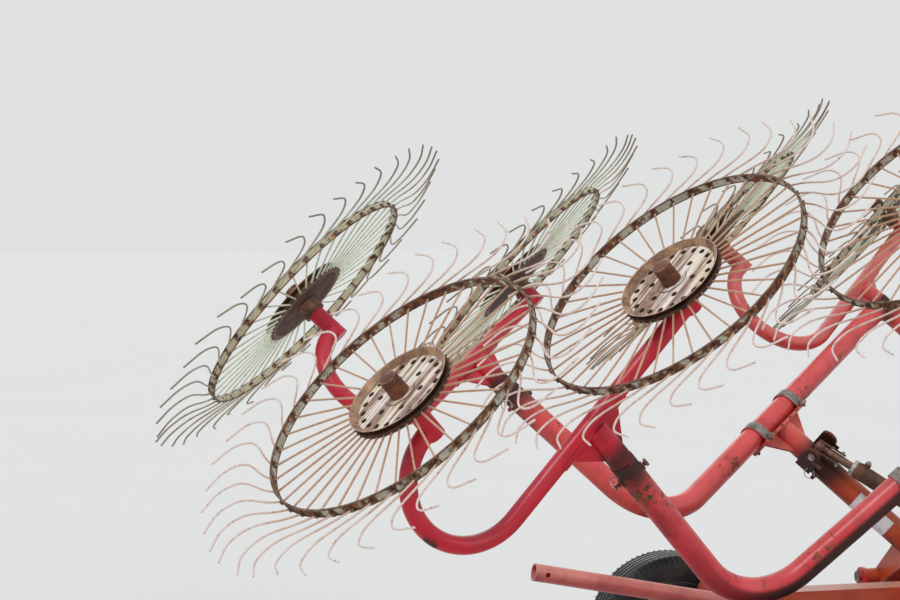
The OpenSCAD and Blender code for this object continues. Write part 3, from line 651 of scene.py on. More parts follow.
def make_finishes(colours):
    """Every finish of the rake, by name. The right side is the near one in the photo."""
    colour = {key: tuple(getattr(colours, key)) for key in type(colours).__annotations__}
    red, pink, orange = colour["crimson"], colour["faded_red"], colour["orange_red"]
    for side in SIDE_SIGN:
        near = side == "right"
        beam = beam_place(side)
        boom = boom_place(side)
        mouths = [(beam.world((-0.835, 0.79, 0)), 0.15), (beam.world((0.97, 0.0, 0)), 0.12)]
        # The near beam gets painted shade on its lower and side faces round a point between the boom and its rear
        # pivot.
        FINISHES[f"beam_{side}"] = weathered_paint(
            f"beam_red_{side}", colour["coral"] if near else pink, (0.68, 0.10, 0.10), 0.21, mouths, 0.05,
            [(beam.world((-0.42, 0.03, -0.03)), 0.66)] if near else [])
        FINISHES[f"boom_{side}"] = weathered_paint(
            f"boom_orange_{side}", orange, (0.52, 0.11, 0.035), 0.18,
            [(boom.world((0, -0.235, 0.05)), 0.21)], 0.1)
        FINISHES[f"clamp_{side}"] = weathered_paint(
            f"clamp_red_{side}", pink, (0.62, 0.13, 0.09), 0.10, [(boom.world((0, -0.22, 0)), 0.10)], 0.1)
        for end in ROCKER_WHEELS:
            deep = near or end == "rear"
            deep_red, washed_pink = (red, (0.56, 0.045, 0.070), 0.09), (pink, (0.64, 0.15, 0.14), 0.14)
            fresh, faded, chips = deep_red if deep else washed_pink
            stub = [(rocker_place(side, end).world((0, -0.14, 0)), 0.09)]
            FINISHES[f"rocker_{side}_{end}"] = weathered_paint(
                f"rocker_red_{side}_{end}", fresh, faded, chips, stub, -0.2)
        FINISHES[f"disc_{side}"] = disc_finish(
            f"disc_cream_{side}", side, colour["disc_cream" if near else "disc_green"], 0.0 if near else 0.14)
        FINISHES[f"wire_{side}"] = wire_finish(
            f"spring_wire_{side}", colour["tine_near_shank" if near else "tine_far_shank"],
            colour["tine_tip" if near else "tine_far"])
        FINISHES[f"rim_{side}"] = rim_finish(
            f"rim_channel_{side}", colour["rim_paint"] if near else (0.50, 0.44, 0.28), 0.13 if near else 0.06)
    FINISHES["frame"] = weathered_paint("frame_orange", orange, (0.50, 0.12, 0.045), 0.12, under_shade=0.1)
    FINISHES["tail"] = weathered_paint("tail_pink", (0.52, 0.11, 0.10), (0.66, 0.24, 0.20), 0.03)
    FINISHES["axle"] = weathered_paint("axle_red", red, (0.50, 0.10, 0.08), 0.14, under_shade=0.15)
    FINISHES["road_rim"] = weathered_paint(
        "road_rim_cream", (0.42, 0.38, 0.31), (0.58, 0.55, 0.48), 0.12, under_shade=0.1)
    for key, settings in IRONS.items():
        FINISHES[key] = rusty_iron(*settings)
    FINISHES["steel"] = bare_steel("turned_steel", (0.52, 0.51, 0.49))
    FINISHES["tyre"] = tyre_rubber("tyre_black")
    FINISHES["hose"] = hose_rubber("hose_black")
    FINISHES["decal"] = decal_film("decal_white")


# What the maker of a scene would change

def length_property(name, description, default, low, high):
    return bpy.props.FloatProperty(
        name=name, description=description, default=default, min=low, max=high, unit="LENGTH")


def colour_property(name, description, default):
    return bpy.props.FloatVectorProperty(
        name=name, description=description, default=default, min=0, max=1, subtype="COLOR")


class WheelSizes(bpy.types.PropertyGroup):
    """Sizes of the rake wheels' fine detail."""

    wire_r: length_property("Wire radius", "Radius of a tine's wire", 0.0035, 0.002, 0.006)
    rim_half: length_property("Half rim width", "Half the rim channel's width", 0.015, 0.008, 0.03)
    flange: length_property("Rim flange", "Height of the rim channel's flanges", 0.004, 0.0, 0.015)
    pan_depth: length_property("Pan depth", "Height of the wall round the hub disc", 0.018, 0.0, 0.05)


class TyreSizes(bpy.types.PropertyGroup):
    """Sizes of the tyres' tread."""

    groove: length_property("Groove depth", "Depth of the grooves round the tread", 0.007, 0.0, 0.015)
    sipes: bpy.props.IntProperty(
        name="Shoulder ribs", description="Number of ribs round each shoulder", default=84, min=24, max=140)


class PaintColours(bpy.types.PropertyGroup):
    """Colours of the old paint and of the wire."""

    crimson: colour_property("Crimson", "Gloss red of the near tubes", (0.53, 0.006, 0.024))
    coral: colour_property("Coral", "Red of the near beam", (0.56, 0.022, 0.034))
    faded_red: colour_property("Faded red", "Sun-faded red", (0.58, 0.060, 0.055))
    orange_red: colour_property("Orange red", "Red of booms and tongue", (0.50, 0.058, 0.020))
    disc_cream: colour_property("Near discs", "Paint of the near hub discs", (0.86, 0.79, 0.73))
    disc_green: colour_property("Far discs", "Paint of the far hub discs", (0.22, 0.13, 0.08))
    tine_tip: colour_property("Near hooks", "Rubbed wire of the near wheels", (0.74, 0.61, 0.55))
    tine_far: colour_property("Far hooks", "Rubbed wire of the far wheels", (0.27, 0.22, 0.16))
    tine_near_shank: colour_property("Near shanks", "Wire of the near wheels inside the rim", (0.50, 0.29, 0.17))
    tine_far_shank: colour_property("Far shanks", "Wire of the far wheels inside the rim", (0.58, 0.64, 0.48))
    rim_paint: colour_property("Rim paint", "What is left of the rims' paint", (0.48, 0.47, 0.37))


class StageSettings(bpy.types.PropertyGroup):
    """Camera and light."""

    lens: bpy.props.FloatProperty(
        name="Lens", description="Focal length in millimetres", default=91.63, min=20, max=300)
    yaw: bpy.props.FloatProperty(
        name="Yaw", description="Heading of the view, clockwise from +Y",
        default=math.radians(14.88), subtype="ANGLE")
    pitch: bpy.props.FloatProperty(
        name="Pitch", description="How far the view looks down", default=math.radians(2.37), subtype="ANGLE")
    spot: bpy.props.FloatVectorProperty(
        name="Camera", description="Place of the camera", subtype="TRANSLATION",
        default=(-6.107, -7.716, 1.531))
    key: bpy.props.FloatProperty(name="Key light", description="Strength of the key lamp", default=1.55, min=0)
    sky: bpy.props.FloatProperty(name="Sky", description="Strength of the even light", default=0.50, min=0)


# Operators

def finish_of(node):
    """The finish that a CAD piece takes."""
    side = "right" if "right" in node else "left"
    for start, finish in (
        ("backbone", "frame"), ("hitch", "frame"), ("tail", "tail"), ("axle", "axle"), ("cross_beam", "axle"),
        ("lift_anchor", "axle"), ("jack_sleeve", "jack"), ("jack_leg", "steel"), ("tyre", "tyre"),
        ("road_wheel", "road_rim"), ("lift_barrel", "cylinder"), ("lift_rod", "rod"), ("boom", f"boom_{side}"),
        ("beam_clamp", f"clamp_{side}"), ("beam", f"beam_{side}"), ("rocker", node), ("tined", f"wire_{side}"),
        ("hub", f"disc_{side}"),
    ):
        if node.startswith(start):
            return finish
    raise ValueError(f"no finish is given for {node}")


class HAYRAKE_OT_finishes(bpy.types.Operator):
    """Make every finish and put it on the CAD pieces"""

    bl_idname = "hay_rake.finishes"
    bl_label = "Finishes"

    def execute(self, context):
        make_finishes(context.scene.hay_rake_paint)
        for name, node in frame["nodes"].items():
            node.data.materials.clear()
            node.data.materials.append(FINISHES[finish_of(name)])
            node.data.shade_smooth()
            node.data.set_sharp_from_angle(angle=math.radians(32))
        return {"FINISHED"}


def tine_path():
    """Middle line of one tine in wheel axes, and how far along it each point is, from 0 to 1."""
    reach = TIP_R - RIM_R
    lean = math.asin(TIP_LEAD / reach)
    outside = []
    for share, sweep in TINE_COURSE:
        turn = math.radians(sweep)
        radius = RIM_R + reach * share
        away = radius * math.cos(turn) - RIM_R
        outside.append((RIM_R + away * math.cos(lean), radius * math.sin(turn),
                        -WIRE_BACK + away * math.sin(lean)))
    shank = [(RING_R - 0.004, 0, -WIRE_BACK), ((RING_R + RIM_R) / 2, 0, -WIRE_BACK)]
    path = np.vstack([shank, smooth_course(outside, 4)])
    walked = np.concatenate([[0], np.cumsum(np.linalg.norm(np.diff(path, axis=0), axis=1))])
    return path, walked / walked[-1]


class HAYRAKE_OT_tined_rings(bpy.types.Operator):
    """Round wire tines on a channel rim, for each rake wheel"""

    bl_idname = "hay_rake.tined_rings"
    bl_label = "Tined rings"

    def execute(self, context):
        sizes = context.scene.hay_rake_wheel
        path, shares = tine_path()
        for side, number in WHEELS:
            form = Form(wheel_place(side, number))
            draw = np.random.default_rng(100 * (side == "left") + number)
            for i in range(TINES):
                self.tine(form, path, shares, i * 2 * math.pi / TINES, draw, sizes.wire_r)
            self.rim(form, sizes.rim_half, sizes.flange)
            form.make(f"wire_tines_{side}_{number}", (f"wire_{side}", f"rim_{side}", "bolt", "rim_edge"),
                      f"rake_wheel_{side}_{number}", [f"tined_ring_{side}_{number}"])
        return {"FINISHED"}

    def tine(self, form, path, shares, angle, draw, wire_r):
        """A tine with its hook bent a little, its clip on the rim and its foot."""
        bend, bent_from = 0.006, 0.45
        bent = path.copy()
        outer = np.clip((shares - bent_from) / (1 - bent_from), 0, 1) ** 2
        bent[:, 1] += outer * draw.normal(0, bend)
        bent[:, 2] += outer * draw.normal(0, bend)
        form.tube(turned(bent, angle), wire_r, 6, 0, shares)
        clip, out_way, side_way = turned([(RIM_R + 0.004, 0, -WIRE_BACK), X, Y], angle)
        form.box(clip, (0.012, 0.013, 0.011), 2, (out_way, side_way, Z))
        foot = [(RING_R + 0.004, 0, -WIRE_BACK), (RING_R - 0.012, 0, -WIRE_BACK)]
        form.tube(turned(foot, angle), 1.5 * wire_r, 8, 2)

    def rim(self, form, half, flange):
        """The channel's web and two edges, and the ring that holds the tines' feet."""
        sheet = 0.003
        segments = 4 * TINES
        by_tine = [1.0 if k % 4 == 0 else 0.0 for k in range(segments)]
        web = band(RIM_R - sheet / 2, RIM_R + sheet / 2, sheet - half, half - sheet)
        form.lathe(web, segments, 1, marks=by_tine)
        for start, end in ((sheet - half, -half), (half, half - sheet)):
            form.lathe(band(RIM_R - sheet, RIM_R + flange, start, end), segments, 3)
        form.lathe(band(RING_R - 0.022, RING_R, -0.010, -0.003), 96, 2)


class HAYRAKE_OT_hub_pans(bpy.types.Operator):
    """Turned-up wall round each hub disc, its cap, washer and split pin"""

    bl_idname = "hay_rake.hub_pans"
    bl_label = "Hub pans"

    def execute(self, context):
        top = DISC_FACE + context.scene.hay_rake_wheel.pan_depth
        lip = PAN_LIP_R
        inner = [(lip - 0.0022, top), (PAN_FACE_R, DISC_FACE + 0.0006)]
        bead = [
            (lip, top - 0.0012), (lip + 0.0014, top + 0.0004), (lip + 0.0006, top + 0.0020),
            (lip - 0.0014, top + 0.0018), (lip - 0.0022, top),
        ]
        outer = [(PAN_FACE_R + 0.0022, DISC_FACE + 0.0008), (lip, top - 0.0012)]
        ledge = [
            (RING_R + 0.0008, -0.0108), (RING_R + 0.0008, DISC_FACE + 0.0007), (PAN_FACE_R, DISC_FACE + 0.0007),
        ]
        cap = [
            (0.0340, DISC_FACE - 0.001), (0.0340, DISC_FACE + 0.002), (0.0328, 0.012), (0.0316, CAP_H - 0.026),
            (0.0302, CAP_H - 0.0245), (0.0302, CAP_H - 0.0225), (0.0312, CAP_H - 0.021), (0.0312, CAP_H - 0.015),
            (0.0299, CAP_H - 0.0135), (0.0299, CAP_H - 0.0115), (0.0310, CAP_H - 0.010), (0.0306, CAP_H - 0.004),
            (0.0284, CAP_H), (0.024, CAP_H + 0.002),
        ]
        back_plate = band(0.036, RING_R - 0.018, -0.0102, -0.0082)
        washer = band(0.0381, 0.043, -0.0605, -0.05)
        split_pin = circle(1.9 * CAP_R, np.linspace(0.4, 3.6, 14), (0, 0, DISC_FACE + 0.002), X, Y)
        for side, number in WHEELS:
            form = Form(wheel_place(side, number))
            self.face(form, frame["nodes"][f"hub_{side}_{number}"])
            # The outer wall and the ledge take the near-black pan_back finish: painted shade round the lip.
            for profile, slot in ((inner, 2), (bead, 4), (outer, 3), (ledge, 3)):
                form.lathe(profile, 96, slot, loop=False, caps=False)
            form.lathe(cap, 40, 1, loop=False)
            form.lathe(back_plate, 72, 3)
            form.lathe(washer, 40, 1)
            form.tube(split_pin, 0.0012, 6, 1)
            form.make(f"hub_pan_{side}_{number}", (f"disc_{side}", "cap", "pan", "pan_back", "pan_lip"),
                      f"rake_wheel_{side}_{number}", [f"hub_{side}_{number}"], sharp=32)
        return {"FINISHED"}

    def face(self, form, hub):
        """The CAD hub with its disc drawn in to the size that the photo shows, holes and all."""
        points = form.place.local([tuple(hub.matrix_world @ vertex.co) for vertex in hub.data.vertices])
        radius = np.hypot(points[:, 0], points[:, 1])
        drawn_in = np.minimum(HUB_R + FACE_SHRINK * (radius - HUB_R), PAN_FACE_R + 0.003)
        wanted = np.where(radius > HUB_R, drawn_in, radius)
        points[:, :2] *= (wanted / np.maximum(radius, 1e-9))[:, None]
        faces = [tuple(polygon.vertices) for polygon in hub.data.polygons]
        form.add(points, [face[::-1] for face in faces] if form.place.mirrored else faces)


class HAYRAKE_OT_tyres(bpy.types.Operator):
    """Tyres with grooves and shoulder ribs"""

    bl_idname = "hay_rake.tyres"
    bl_label = "Tyres"

    def execute(self, context):
        sizes = context.scene.hay_rake_tyre
        half, tread = TYRE_HALF, TYRE_HALF - 0.022
        wall = [
            (RIM_BEAD, half - 0.034), (RIM_BEAD, half - 0.012), (RIM_BEAD + 0.012, half - 0.004),
            (RIM_BEAD + 0.020, half - 0.0025), (RIM_BEAD + 0.024, half - 0.0045), (RIM_BEAD + 0.04, half),
            (TYRE_R - 0.075, half + 0.001), (TYRE_R - 0.05, half), (TYRE_R - 0.03, half - 0.006),
            (TYRE_R - 0.016, tread + 0.010), (TYRE_R - 0.004, tread), (TYRE_R - 0.001, tread - 0.012),
        ]
        lining = [(RIM_BEAD + 0.03, half - 0.02), (TYRE_R - 0.05, half - 0.018), (TYRE_R - 0.022, 0.0)]
        grooves = []
        for middle in (-0.045, -0.015, 0.015, 0.045):
            grooves += [(TYRE_R, middle - 0.006), (TYRE_R - sizes.groove, middle - 0.0035),
                        (TYRE_R - sizes.groove, middle + 0.0035), (TYRE_R, middle + 0.006)]
        far_wall, far_lining = ([(r, -h) for r, h in course] for course in (wall, lining[1::-1]))
        profile = far_wall + grooves + wall[::-1] + lining + far_lining
        for side in SIDE_SIGN:
            form = Form(road_place(side))
            form.lathe(profile, 4 * sizes.sipes)
            for k in range(sizes.sipes):
                for shoulder in (-1, 1):
                    rib = [(TYRE_R - 0.0005, 0, shoulder * 0.055), (TYRE_R - 0.002, 0, shoulder * (tread + 0.001)),
                           (TYRE_R - 0.014, 0, shoulder * (tread + 0.0115)),
                           (TYRE_R - 0.032, 0, shoulder * (half - 0.0055))]
                    angle = (k + 0.25 * (shoulder > 0)) * 2 * math.pi / sizes.sipes
                    form.tube(turned(rib, angle), (0.0018, 0.0026, 0.0030, 0.0015), 6)
            form.make(f"tread_tyre_{side}", ("tyre",), f"carrier_{side}", [f"tyre_{side}"], 28)
        return {"FINISHED"}


class HAYRAKE_OT_road_wheel_trim(bpy.types.Operator):
    """Wheel nuts, dust cap and valve of the road wheels"""

    bl_idname = "hay_rake.road_wheel_trim"
    bl_label = "Road wheel trim"

    def execute(self, context):
        face, nuts, nut_circle = 0.015, 5, 0.057
        cap = [(0.0325, 0.060), (0.0325, 0.068), (0.029, 0.070), (0.026, 0.080), (0.018, 0.085)]
        for side in SIDE_SIGN:
            form = Form(road_place(side))
            for k in range(nuts):
                angle = k * 2 * math.pi / nuts + 0.3
                form.bolt((nut_circle * math.cos(angle), nut_circle * math.sin(angle), face), Z, 0.0105)
            form.lathe(cap, 36, 1, loop=False)
            form.rod((RIM_BEAD - 0.02, 0, 0.045), (RIM_BEAD - 0.035, 0, 0.078), 0.0035, 10, 1)
            form.make(f"wheel_trim_{side}", ("bolt", "steel"), f"carrier_{side}")
        return {"FINISHED"}


class HAYRAKE_OT_pins(bpy.types.Operator):
    """Washers, heads and ring clips of the retaining pins"""

    bl_idname = "hay_rake.pins"
    bl_label = "Retaining pins"

    def execute(self, context):
        for side in SIDE_SIGN:
            form = Form(boom_place(side))
            self.pin(form, BOOM_PIN, BOOM_R)
            form.make(f"boom_pin_clip_{side}", ("bolt", "steel"), f"boom_{side}")
            form = Form(beam_place(side))
            for at in BEAM_PINS:
                self.pin(form, at, BEAM_R)
            form.make(f"beam_pin_clips_{side}", ("bolt", "steel"), f"beam_{side}")
        return {"FINISHED"}

    def pin(self, form, at, tube_r):
        """One pin's dress. The pin runs along X, with a lynch pin and its sprung ring at the low end."""
        at = np.array(at, float)
        head, clip, ring_r = at + (tube_r + 0.020) * X, at - (tube_r + 0.017) * X, 0.020
        form.rod(head - 0.008 * X, head + 0.001 * X, 0.014, 24)
        for way in (X, -X):
            form.rod(at + (tube_r + 0.0005) * way, at + (tube_r + 0.004) * way, 0.016, 24)
        form.rod(clip - 0.016 * Z, clip + 0.018 * Z, 0.0035, 10, 1)
        ring = circle(ring_r, round_turn(28), clip + ring_r * Y, Y, 0.75 * Z + 0.66 * X)
        form.tube(ring, 0.0018, 8, 1, closed=True)


class HAYRAKE_OT_clamp_bolts(bpy.types.Operator):
    """Grey bands, bolts and slots of the beam clamps"""

    bl_idname = "hay_rake.clamp_bolts"
    bl_label = "Clamp bolts"

    def execute(self, context):
        band_half, band_r, plate = 0.0225, BEAM_R + 0.0072, -BEAM_R - 0.006
        arc = np.linspace(-math.pi / 2, math.pi / 2, 25)
        outline = [(math.cos(t) * band_r, math.sin(t) * band_r) for t in arc]
        outline = [(-BEAM_R, -band_r)] + outline + [(-BEAM_R, band_r)]
        section = outline + [(y * 0.985 if y > 0 else y, z * 0.985) for y, z in outline[::-1]]
        for side in SIDE_SIGN:
            form = Form(beam_place(side))
            for x in (-CLAMP_REACH, CLAMP_REACH):
                form.grid([[(x + way * band_half, y, z) for y, z in section] for way in (-1, 1)])
                for z in (-1, 1):
                    form.box((x, plate + 0.004, z * (band_r + 0.007)), (0.038, 0.010, 0.016))
                    form.bolt((x, plate - 0.005, z * (band_r + 0.006)), -Y, 0.0075, 1)
                    form.bolt((x, plate + 0.0095, z * (band_r + 0.006)), Y, 0.0075, 1)
            # Each slot and notch is a thin near-black plate on the surface: painted shade for its dark inside.
            for x in (-0.09, -0.035, 0.03, 0.085):
                form.box((x, plate, BEAM_R + 0.0092), (0.017, 0.005, 0.0008), 2)
                form.box((x + 0.01, -0.0395, 0.0212), (0.013, 0.004, 0.004), 2)
            form.make(f"clamp_bands_{side}", ("band", "bolt", "slot"), f"beam_{side}")
        return {"FINISHED"}


def curved_plate(outer, inner, angles, centres, across, up):
    """Rings of a plate that wraps part of a tube, one at each centre."""
    return [np.vstack([circle(outer, angles, centre, across, up), circle(inner, angles[::-1], centre, across, up)])
            for centre in centres]


class HAYRAKE_OT_weld_seams(bpy.types.Operator):
    """Weld seams and pivot saddles on rockers and beams"""

    bl_idname = "hay_rake.weld_seams"
    bl_label = "Weld seams"

    def execute(self, context):
        run = np.array((*turned([X], math.radians(4.76))[0, :2], 0))
        wrap = np.radians(np.linspace(95, 265, 15))
        centres = [0.0099 * Y + d * run for d in np.linspace(-0.17, 0.14, 12)]
        saddle = curved_plate(ROCKER_R + 0.0045, ROCKER_R - 0.001, wrap, centres, np.cross(Z, run), Z)
        for side in SIDE_SIGN:
            for end, mouth in MOUTH_Y.items():
                form = Form(rocker_place(side, end))
                form.grid(saddle)
                for y, r in ((mouth + 0.004, BEAM_R - 0.0025), (-0.036, BEAM_R - 0.005)):
                    seam = [(r * math.cos(t), y + 0.004 * math.sin(2 * t), r * math.sin(t))
                            for t in round_turn(48)]
                    form.tube(seam, 0.0028, 6, closed=True)
                form.make(f"pivot_saddle_{side}_{end}", (f"rocker_{side}_{end}",), f"rocker_{side}_{end}",
                          sharp=50)
        return {"FINISHED"}


def port_way(side, place):
    """The source turns each port by [0, -90, 0] in the cylinder's axes: against its local X, read in ours."""
    mirror = np.array((1, SIDE_SIGN[side], 1))
    run = place.axes[2] * mirror
    tilt, turn = math.acos(run[2]), math.atan2(run[1], run[0])
    x = np.array((math.cos(turn) * math.cos(tilt), math.sin(turn) * math.cos(tilt), -math.sin(tilt)))
    return -place.axes @ (x * mirror)


class HAYRAKE_OT_lift_fittings(bpy.types.Operator):
    """Gland rings, link plates, pins and ports of the lift cylinders"""

    bl_idname = "hay_rake.lift_fittings"
    bl_label = "Lift cylinder fittings"

    def execute(self, context):
        for side in SIDE_SIGN:
            self.barrel(side)
            self.clevis(side)
            self.lug(side)
        return {"FINISHED"}

    def barrel(self, side):
        """Gland, rings and port fittings."""
        r, end = BARREL_R, BARREL_LENGTH
        form = Form(barrel_place(side))
        form.lathe([(0.017, end - 0.002), (0.017, end + 0.006), (r - 0.006, end + 0.006), (r + 0.001, end + 0.002),
                    (r + 0.001, end - 0.012), (r - 0.001, end - 0.014)], 40, 1)
        for z in (0.062, 0.075, end - 0.03):
            ring = [(r - 0.001, z), (r + 0.0022, z + 0.001), (r + 0.0022, z + 0.007), (r - 0.001, z + 0.008)]
            form.lathe(ring, 40)
        way = port_way(side, form.place)
        for port in PORTS:
            form.bolt(port * Z + (r + 0.0095) * way, way, 0.012, 1, washer=False)
        form.make(f"lift_gland_{side}", ("cylinder", "steel"), f"lift_barrel_{side}")

    def clevis(self, side):
        """Two slotted bars from the rod's eye towards the barrel, bolted together beyond the rod."""
        place = barrel_place(side)
        bar_r = 0.019
        eye = place.local(boom_place(side).world((0, -LUG_BACK, LUG_RISE)))[2]
        foot = eye - min(0.10, eye - BARREL_LENGTH - 0.016)
        arc = np.linspace(-math.pi / 2, math.pi / 2, 9)
        outline = [(bar_r * math.sin(t), eye + bar_r * math.cos(t)) for t in arc]
        outline += [(bar_r, foot), (-bar_r, foot)]
        form = Form(place)
        for x in (-1, 1):
            form.grid([[(x * 0.0215 + way * 0.0035, y, z) for y, z in outline] for way in (-1, 1)])
            # A thin near-black plate on each bar: painted shade for the slot's dark inside.
            form.box((x * 0.0253, 0, eye - 0.58 * (eye - foot)), (0.0012, 0.009, 0.5 * (eye - foot)), 2)
            form.bolt((x * 0.025, 0, foot + 0.012), x * X, 0.008, 1)
        form.make(f"lift_clevis_{side}", ("cylinder", "steel", "slot"), f"lift_rod_{side}")

    def lug(self, side):
        """Bolt heads and keeper plates on the boom's lug ears."""
        face = BOOM_R + 0.011
        form = Form(boom_place(side))
        for x in (-1, 1):
            form.bolt((x * (face + 0.0005), -LUG_BACK, LUG_RISE), x * X, 0.0135, 1)
            form.box((x * (face + 0.0025), -LUG_BACK - 0.033, LUG_RISE - 0.023), (0.004, 0.045, 0.02))
        form.make(f"lift_lug_bolts_{side}", ("cylinder", "steel"), f"boom_{side}")


def hose_course(side):
    """Middle line of one hose in ground axes, along the top of the tongue to its front end."""
    y = SIDE_SIGN[side] * HOSE_Y
    points = [(1.33, y, HOSE_Z), (1.45, y, HOSE_Z), (1.75, y * 1.1, HOSE_Z), (2.05, y, HOSE_Z), (2.30, y, HOSE_Z),
              (2.60, y, HOSE_Z), (2.80, y, HOSE_Z + 0.002)]
    return smooth_course(points, 6)


def port_hose_course(side):
    """Middle line of a hose from a barrel's lower port to the tongue's top, in the row frame."""
    barrel = barrel_place(side)
    way = port_way(side, barrel)
    port = barrel.world(PORTS[0] * Z + 0.052 * way)
    up = port + 0.055 * (way @ barrel.axes)
    sign = SIDE_SIGN[side]
    tongue = GROUND.world([(1.24, sign * 0.040, TONGUE_TOP + 0.050), (1.30, sign * HOSE_Y, HOSE_Z),
                           (1.34, sign * HOSE_Y, HOSE_Z)])
    over = up + 0.45 * (tongue[0] - up) + np.array((0.02, 0, 0.035))
    return smooth_course([port, up, over, *tongue], 8)


class HAYRAKE_OT_hose_runs(bpy.types.Operator):
    """Hydraulic hoses from the cylinders' ports along the tongue, with their couplers in a holder"""

    bl_idname = "hay_rake.hose_runs"
    bl_label = "Hose runs"

    def execute(self, context):
        form = Form(GROUND)
        for side in SIDE_SIGN:
            form.tube(hose_course(side), HOSE_R, 12)
            y, z = SIDE_SIGN[side] * HOSE_Y, HOSE_Z + 0.002
            form.rod((2.795, y, z), (2.83, y, z), 0.0115, 6, 1)
            form.rod((2.83, y, z), (2.845, y, z), 0.0095, 20, 1)
        for x in (1.36, 1.65, 2.0, 2.25, 2.62):
            form.box((x, 0, TONGUE_TOP + 0.0185), (0.03, 0.10, 0.003), 1)
            for y in (-0.047, 0.047):
                form.box((x, y, TONGUE_TOP + 0.0095), (0.03, 0.003, 0.019), 1)
        form.make("tongue_hoses", ("hose", "bolt"), "frame", sharp=60)
        for side in SIDE_SIGN:
            form = Form(ROW)
            course = port_hose_course(side)
            form.tube(course, HOSE_R, 12)
            form.tube(course[:3], 0.0115, 12, 1)
            piece = form.make(f"port_hose_{side}", ("hose", "bolt"), None, sharp=60)
            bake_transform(piece)
        return {"FINISHED"}


class HAYRAKE_OT_boom_labels(bpy.types.Operator):
    """Blank labels on the booms"""

    bl_idname = "hay_rake.boom_labels"
    bl_label = "Boom labels"

    def execute(self, context):
        for side in SIDE_SIGN:
            form = Form(boom_place(side))
            for low, high, start, end in ((-0.495, -0.455, 95, 215), (-0.628, -0.575, 100, 220)):
                wrap = np.radians(np.linspace(start, end, 16))
                centres = [y * Y for y in np.linspace(low, high, 3)]
                form.grid(curved_plate(BOOM_R + 0.0012, BOOM_R - 0.0008, wrap, centres, X, Z))
            form.make(f"boom_labels_{side}", ("decal",), f"boom_{side}", sharp=60)
        return {"FINISHED"}


class HAYRAKE_OT_frame_fasteners(bpy.types.Operator):
    """Bolts, cotters and caps of the tongue, hinges and jack"""

    bl_idname = "hay_rake.frame_fasteners"
    bl_label = "Frame fasteners"

    def execute(self, context):
        form = Form(GROUND)
        hinge = GROUND.local(joint_point("boom_fold_left"))
        half_bracket, gap, ear, washer = 0.115, 0.0003, 0.016, 0.012
        for sign in (-1, 1):
            for way in (-X, X):
                end = hinge * (1, sign, 1) + (half_bracket + gap + ear + washer) * way
                form.rod(end - 0.0005 * way, end + 0.004 * way, 0.023, 28)
                form.rod(end - 0.004 * way - 0.03 * Z, end - 0.004 * way + 0.03 * Z, 0.003, 8)
        for y in (-0.044, 0.044):
            for z in (0.555, 0.485):
                form.bolt((TONGUE_END + 0.0005, y, z), X, 0.009)
        jack_y = TONGUE_W / 2 + 0.012 + 0.033
        for low, high in ((0.352, 0.366), (0.722, 0.738)):
            form.lathe(band(0.0335, 0.0365, low, high), 36, 0, (JACK_X, jack_y, 0))
        grip = [(0.0075, 0.774), (0.0115, 0.778), (0.0115, 0.852), (0.0075, 0.856)]
        form.lathe(grip, 20, 1, (JACK_X - 0.103, jack_y, 0), loop=False)
        form.make("frame_fasteners", ("bolt", "hose"), "frame")
        return {"FINISHED"}


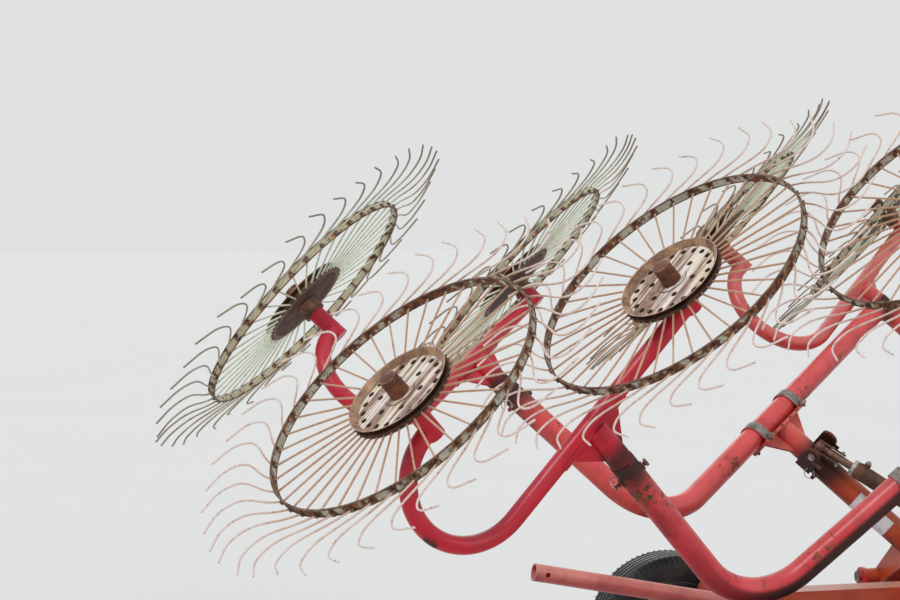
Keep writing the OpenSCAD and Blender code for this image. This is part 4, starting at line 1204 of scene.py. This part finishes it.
class HAYRAKE_OT_stage(bpy.types.Operator):
    """Floor, light and camera"""

    bl_idname = "hay_rake.stage"
    bl_label = "Stage"

    def execute(self, context):
        settings = context.scene.hay_rake_stage
        scene = context.scene
        self.floor()
        self.lamps(settings)
        self.world(scene, settings)
        data = bpy.data.cameras.new("photo_camera")
        data.sensor_width = 36
        data.lens = settings.lens
        camera = bpy.data.objects.new("photo_camera", data)
        camera.location = settings.spot
        camera.rotation_euler = (math.pi / 2 - settings.pitch, 0, -settings.yaw)
        scene.collection.objects.link(camera)
        scene.camera = camera
        scene.view_settings.view_transform = "Standard"
        return {"FINISHED"}

    def floor(self):
        reach = 90.0
        mesh = bpy.data.meshes.new("floor")
        corners = [(-reach, -reach), (reach, -reach), (reach, reach), (-reach, reach)]
        mesh.from_pydata([(x, y, FLOOR_Z) for x, y in corners], [], [(0, 1, 2, 3)])
        mesh.materials.append(floor_paper("floor_paper", (0.74, 0.74, 0.73)))
        floor = bpy.data.objects.new("floor", mesh)
        bpy.context.scene.collection.objects.link(floor)

    def lamps(self, settings):
        """Name, direction the light comes from, softness in degrees and share of the key's strength."""
        for name, source, softness, share in (
            ("key", (-0.62, -0.45, 0.95), 22, 1.0),
            ("fill", (0.75, -0.85, 0.55), 40, 0.35),
            ("back", (0.25, 0.95, 0.60), 40, 0.30),
        ):
            data = bpy.data.lights.new(name, "SUN")
            data.energy = settings.key * share
            data.angle = math.radians(softness)
            lamp = bpy.data.objects.new(name, data)
            x, y, z = unit(source)
            lamp.rotation_euler = (math.acos(z), 0, math.atan2(x, -y))
            bpy.context.scene.collection.objects.link(lamp)

    def world(self, scene, settings):
        """Even grey light, and a pale ground for the camera and for reflections seen in metal."""
        world = bpy.data.worlds.new("studio")
        scene.world = world
        world.use_nodes = True
        tree = world.node_tree
        light = tree.nodes["Background"]
        light.inputs["Color"].default_value = (0.95, 0.97, 1.0, 1.0)
        light.inputs["Strength"].default_value = settings.sky
        seen = tree.nodes.new("ShaderNodeBackground")
        seen.inputs["Color"].default_value = (0.745, 0.752, 0.752, 1.0)
        rays = tree.nodes.new("ShaderNodeLightPath")
        direct = rays.outputs["Is Camera Ray"]
        for kind in ("Is Glossy Ray", "Is Transmission Ray"):
            either = tree.nodes.new("ShaderNodeMath")
            either.operation = "MAXIMUM"
            tree.links.new(direct, either.inputs[0])
            tree.links.new(rays.outputs[kind], either.inputs[1])
            direct = either.outputs[0]
        mix = tree.nodes.new("ShaderNodeMixShader")
        tree.links.new(direct, mix.inputs["Fac"])
        tree.links.new(light.outputs[0], mix.inputs[1])
        tree.links.new(seen.outputs[0], mix.inputs[2])
        tree.links.new(mix.outputs[0], tree.nodes["World Output"].inputs["Surface"])


OPERATORS = (
    HAYRAKE_OT_finishes, HAYRAKE_OT_tined_rings, HAYRAKE_OT_hub_pans, HAYRAKE_OT_tyres, HAYRAKE_OT_road_wheel_trim,
    HAYRAKE_OT_pins, HAYRAKE_OT_clamp_bolts, HAYRAKE_OT_weld_seams, HAYRAKE_OT_lift_fittings, HAYRAKE_OT_hose_runs,
    HAYRAKE_OT_boom_labels, HAYRAKE_OT_frame_fasteners, HAYRAKE_OT_stage,
)
GROUPS = {
    "hay_rake_wheel": WheelSizes,
    "hay_rake_tyre": TyreSizes,
    "hay_rake_paint": PaintColours,
    "hay_rake_stage": StageSettings,
}


class HAYRAKE_PT_steps(bpy.types.Panel):
    """Lists the steps in their order, with their settings"""

    bl_label = "Hay rake"
    bl_idname = "HAYRAKE_PT_steps"
    bl_space_type = "VIEW_3D"
    bl_region_type = "UI"
    bl_category = "Hay Rake"

    def draw(self, context):
        for operator in OPERATORS:
            self.layout.operator(operator.bl_idname)
        for key, group in GROUPS.items():
            box = self.layout.box()
            for name in group.__annotations__:
                box.prop(getattr(context.scene, key), name)


def register():
    for group in GROUPS.values():
        bpy.utils.register_class(group)
    for key, group in GROUPS.items():
        setattr(bpy.types.Scene, key, bpy.props.PointerProperty(type=group))
    for operator in OPERATORS:
        bpy.utils.register_class(operator)
    bpy.utils.register_class(HAYRAKE_PT_steps)


def unregister():
    bpy.utils.unregister_class(HAYRAKE_PT_steps)
    for operator in reversed(OPERATORS):
        bpy.utils.unregister_class(operator)
    for key, group in GROUPS.items():
        delattr(bpy.types.Scene, key)
        bpy.utils.unregister_class(group)


def main():
    register()
    for operator in OPERATORS:
        group, name = operator.bl_idname.split(".")
        getattr(getattr(bpy.ops, group), name)()


if __name__ == "__main__":
    main()
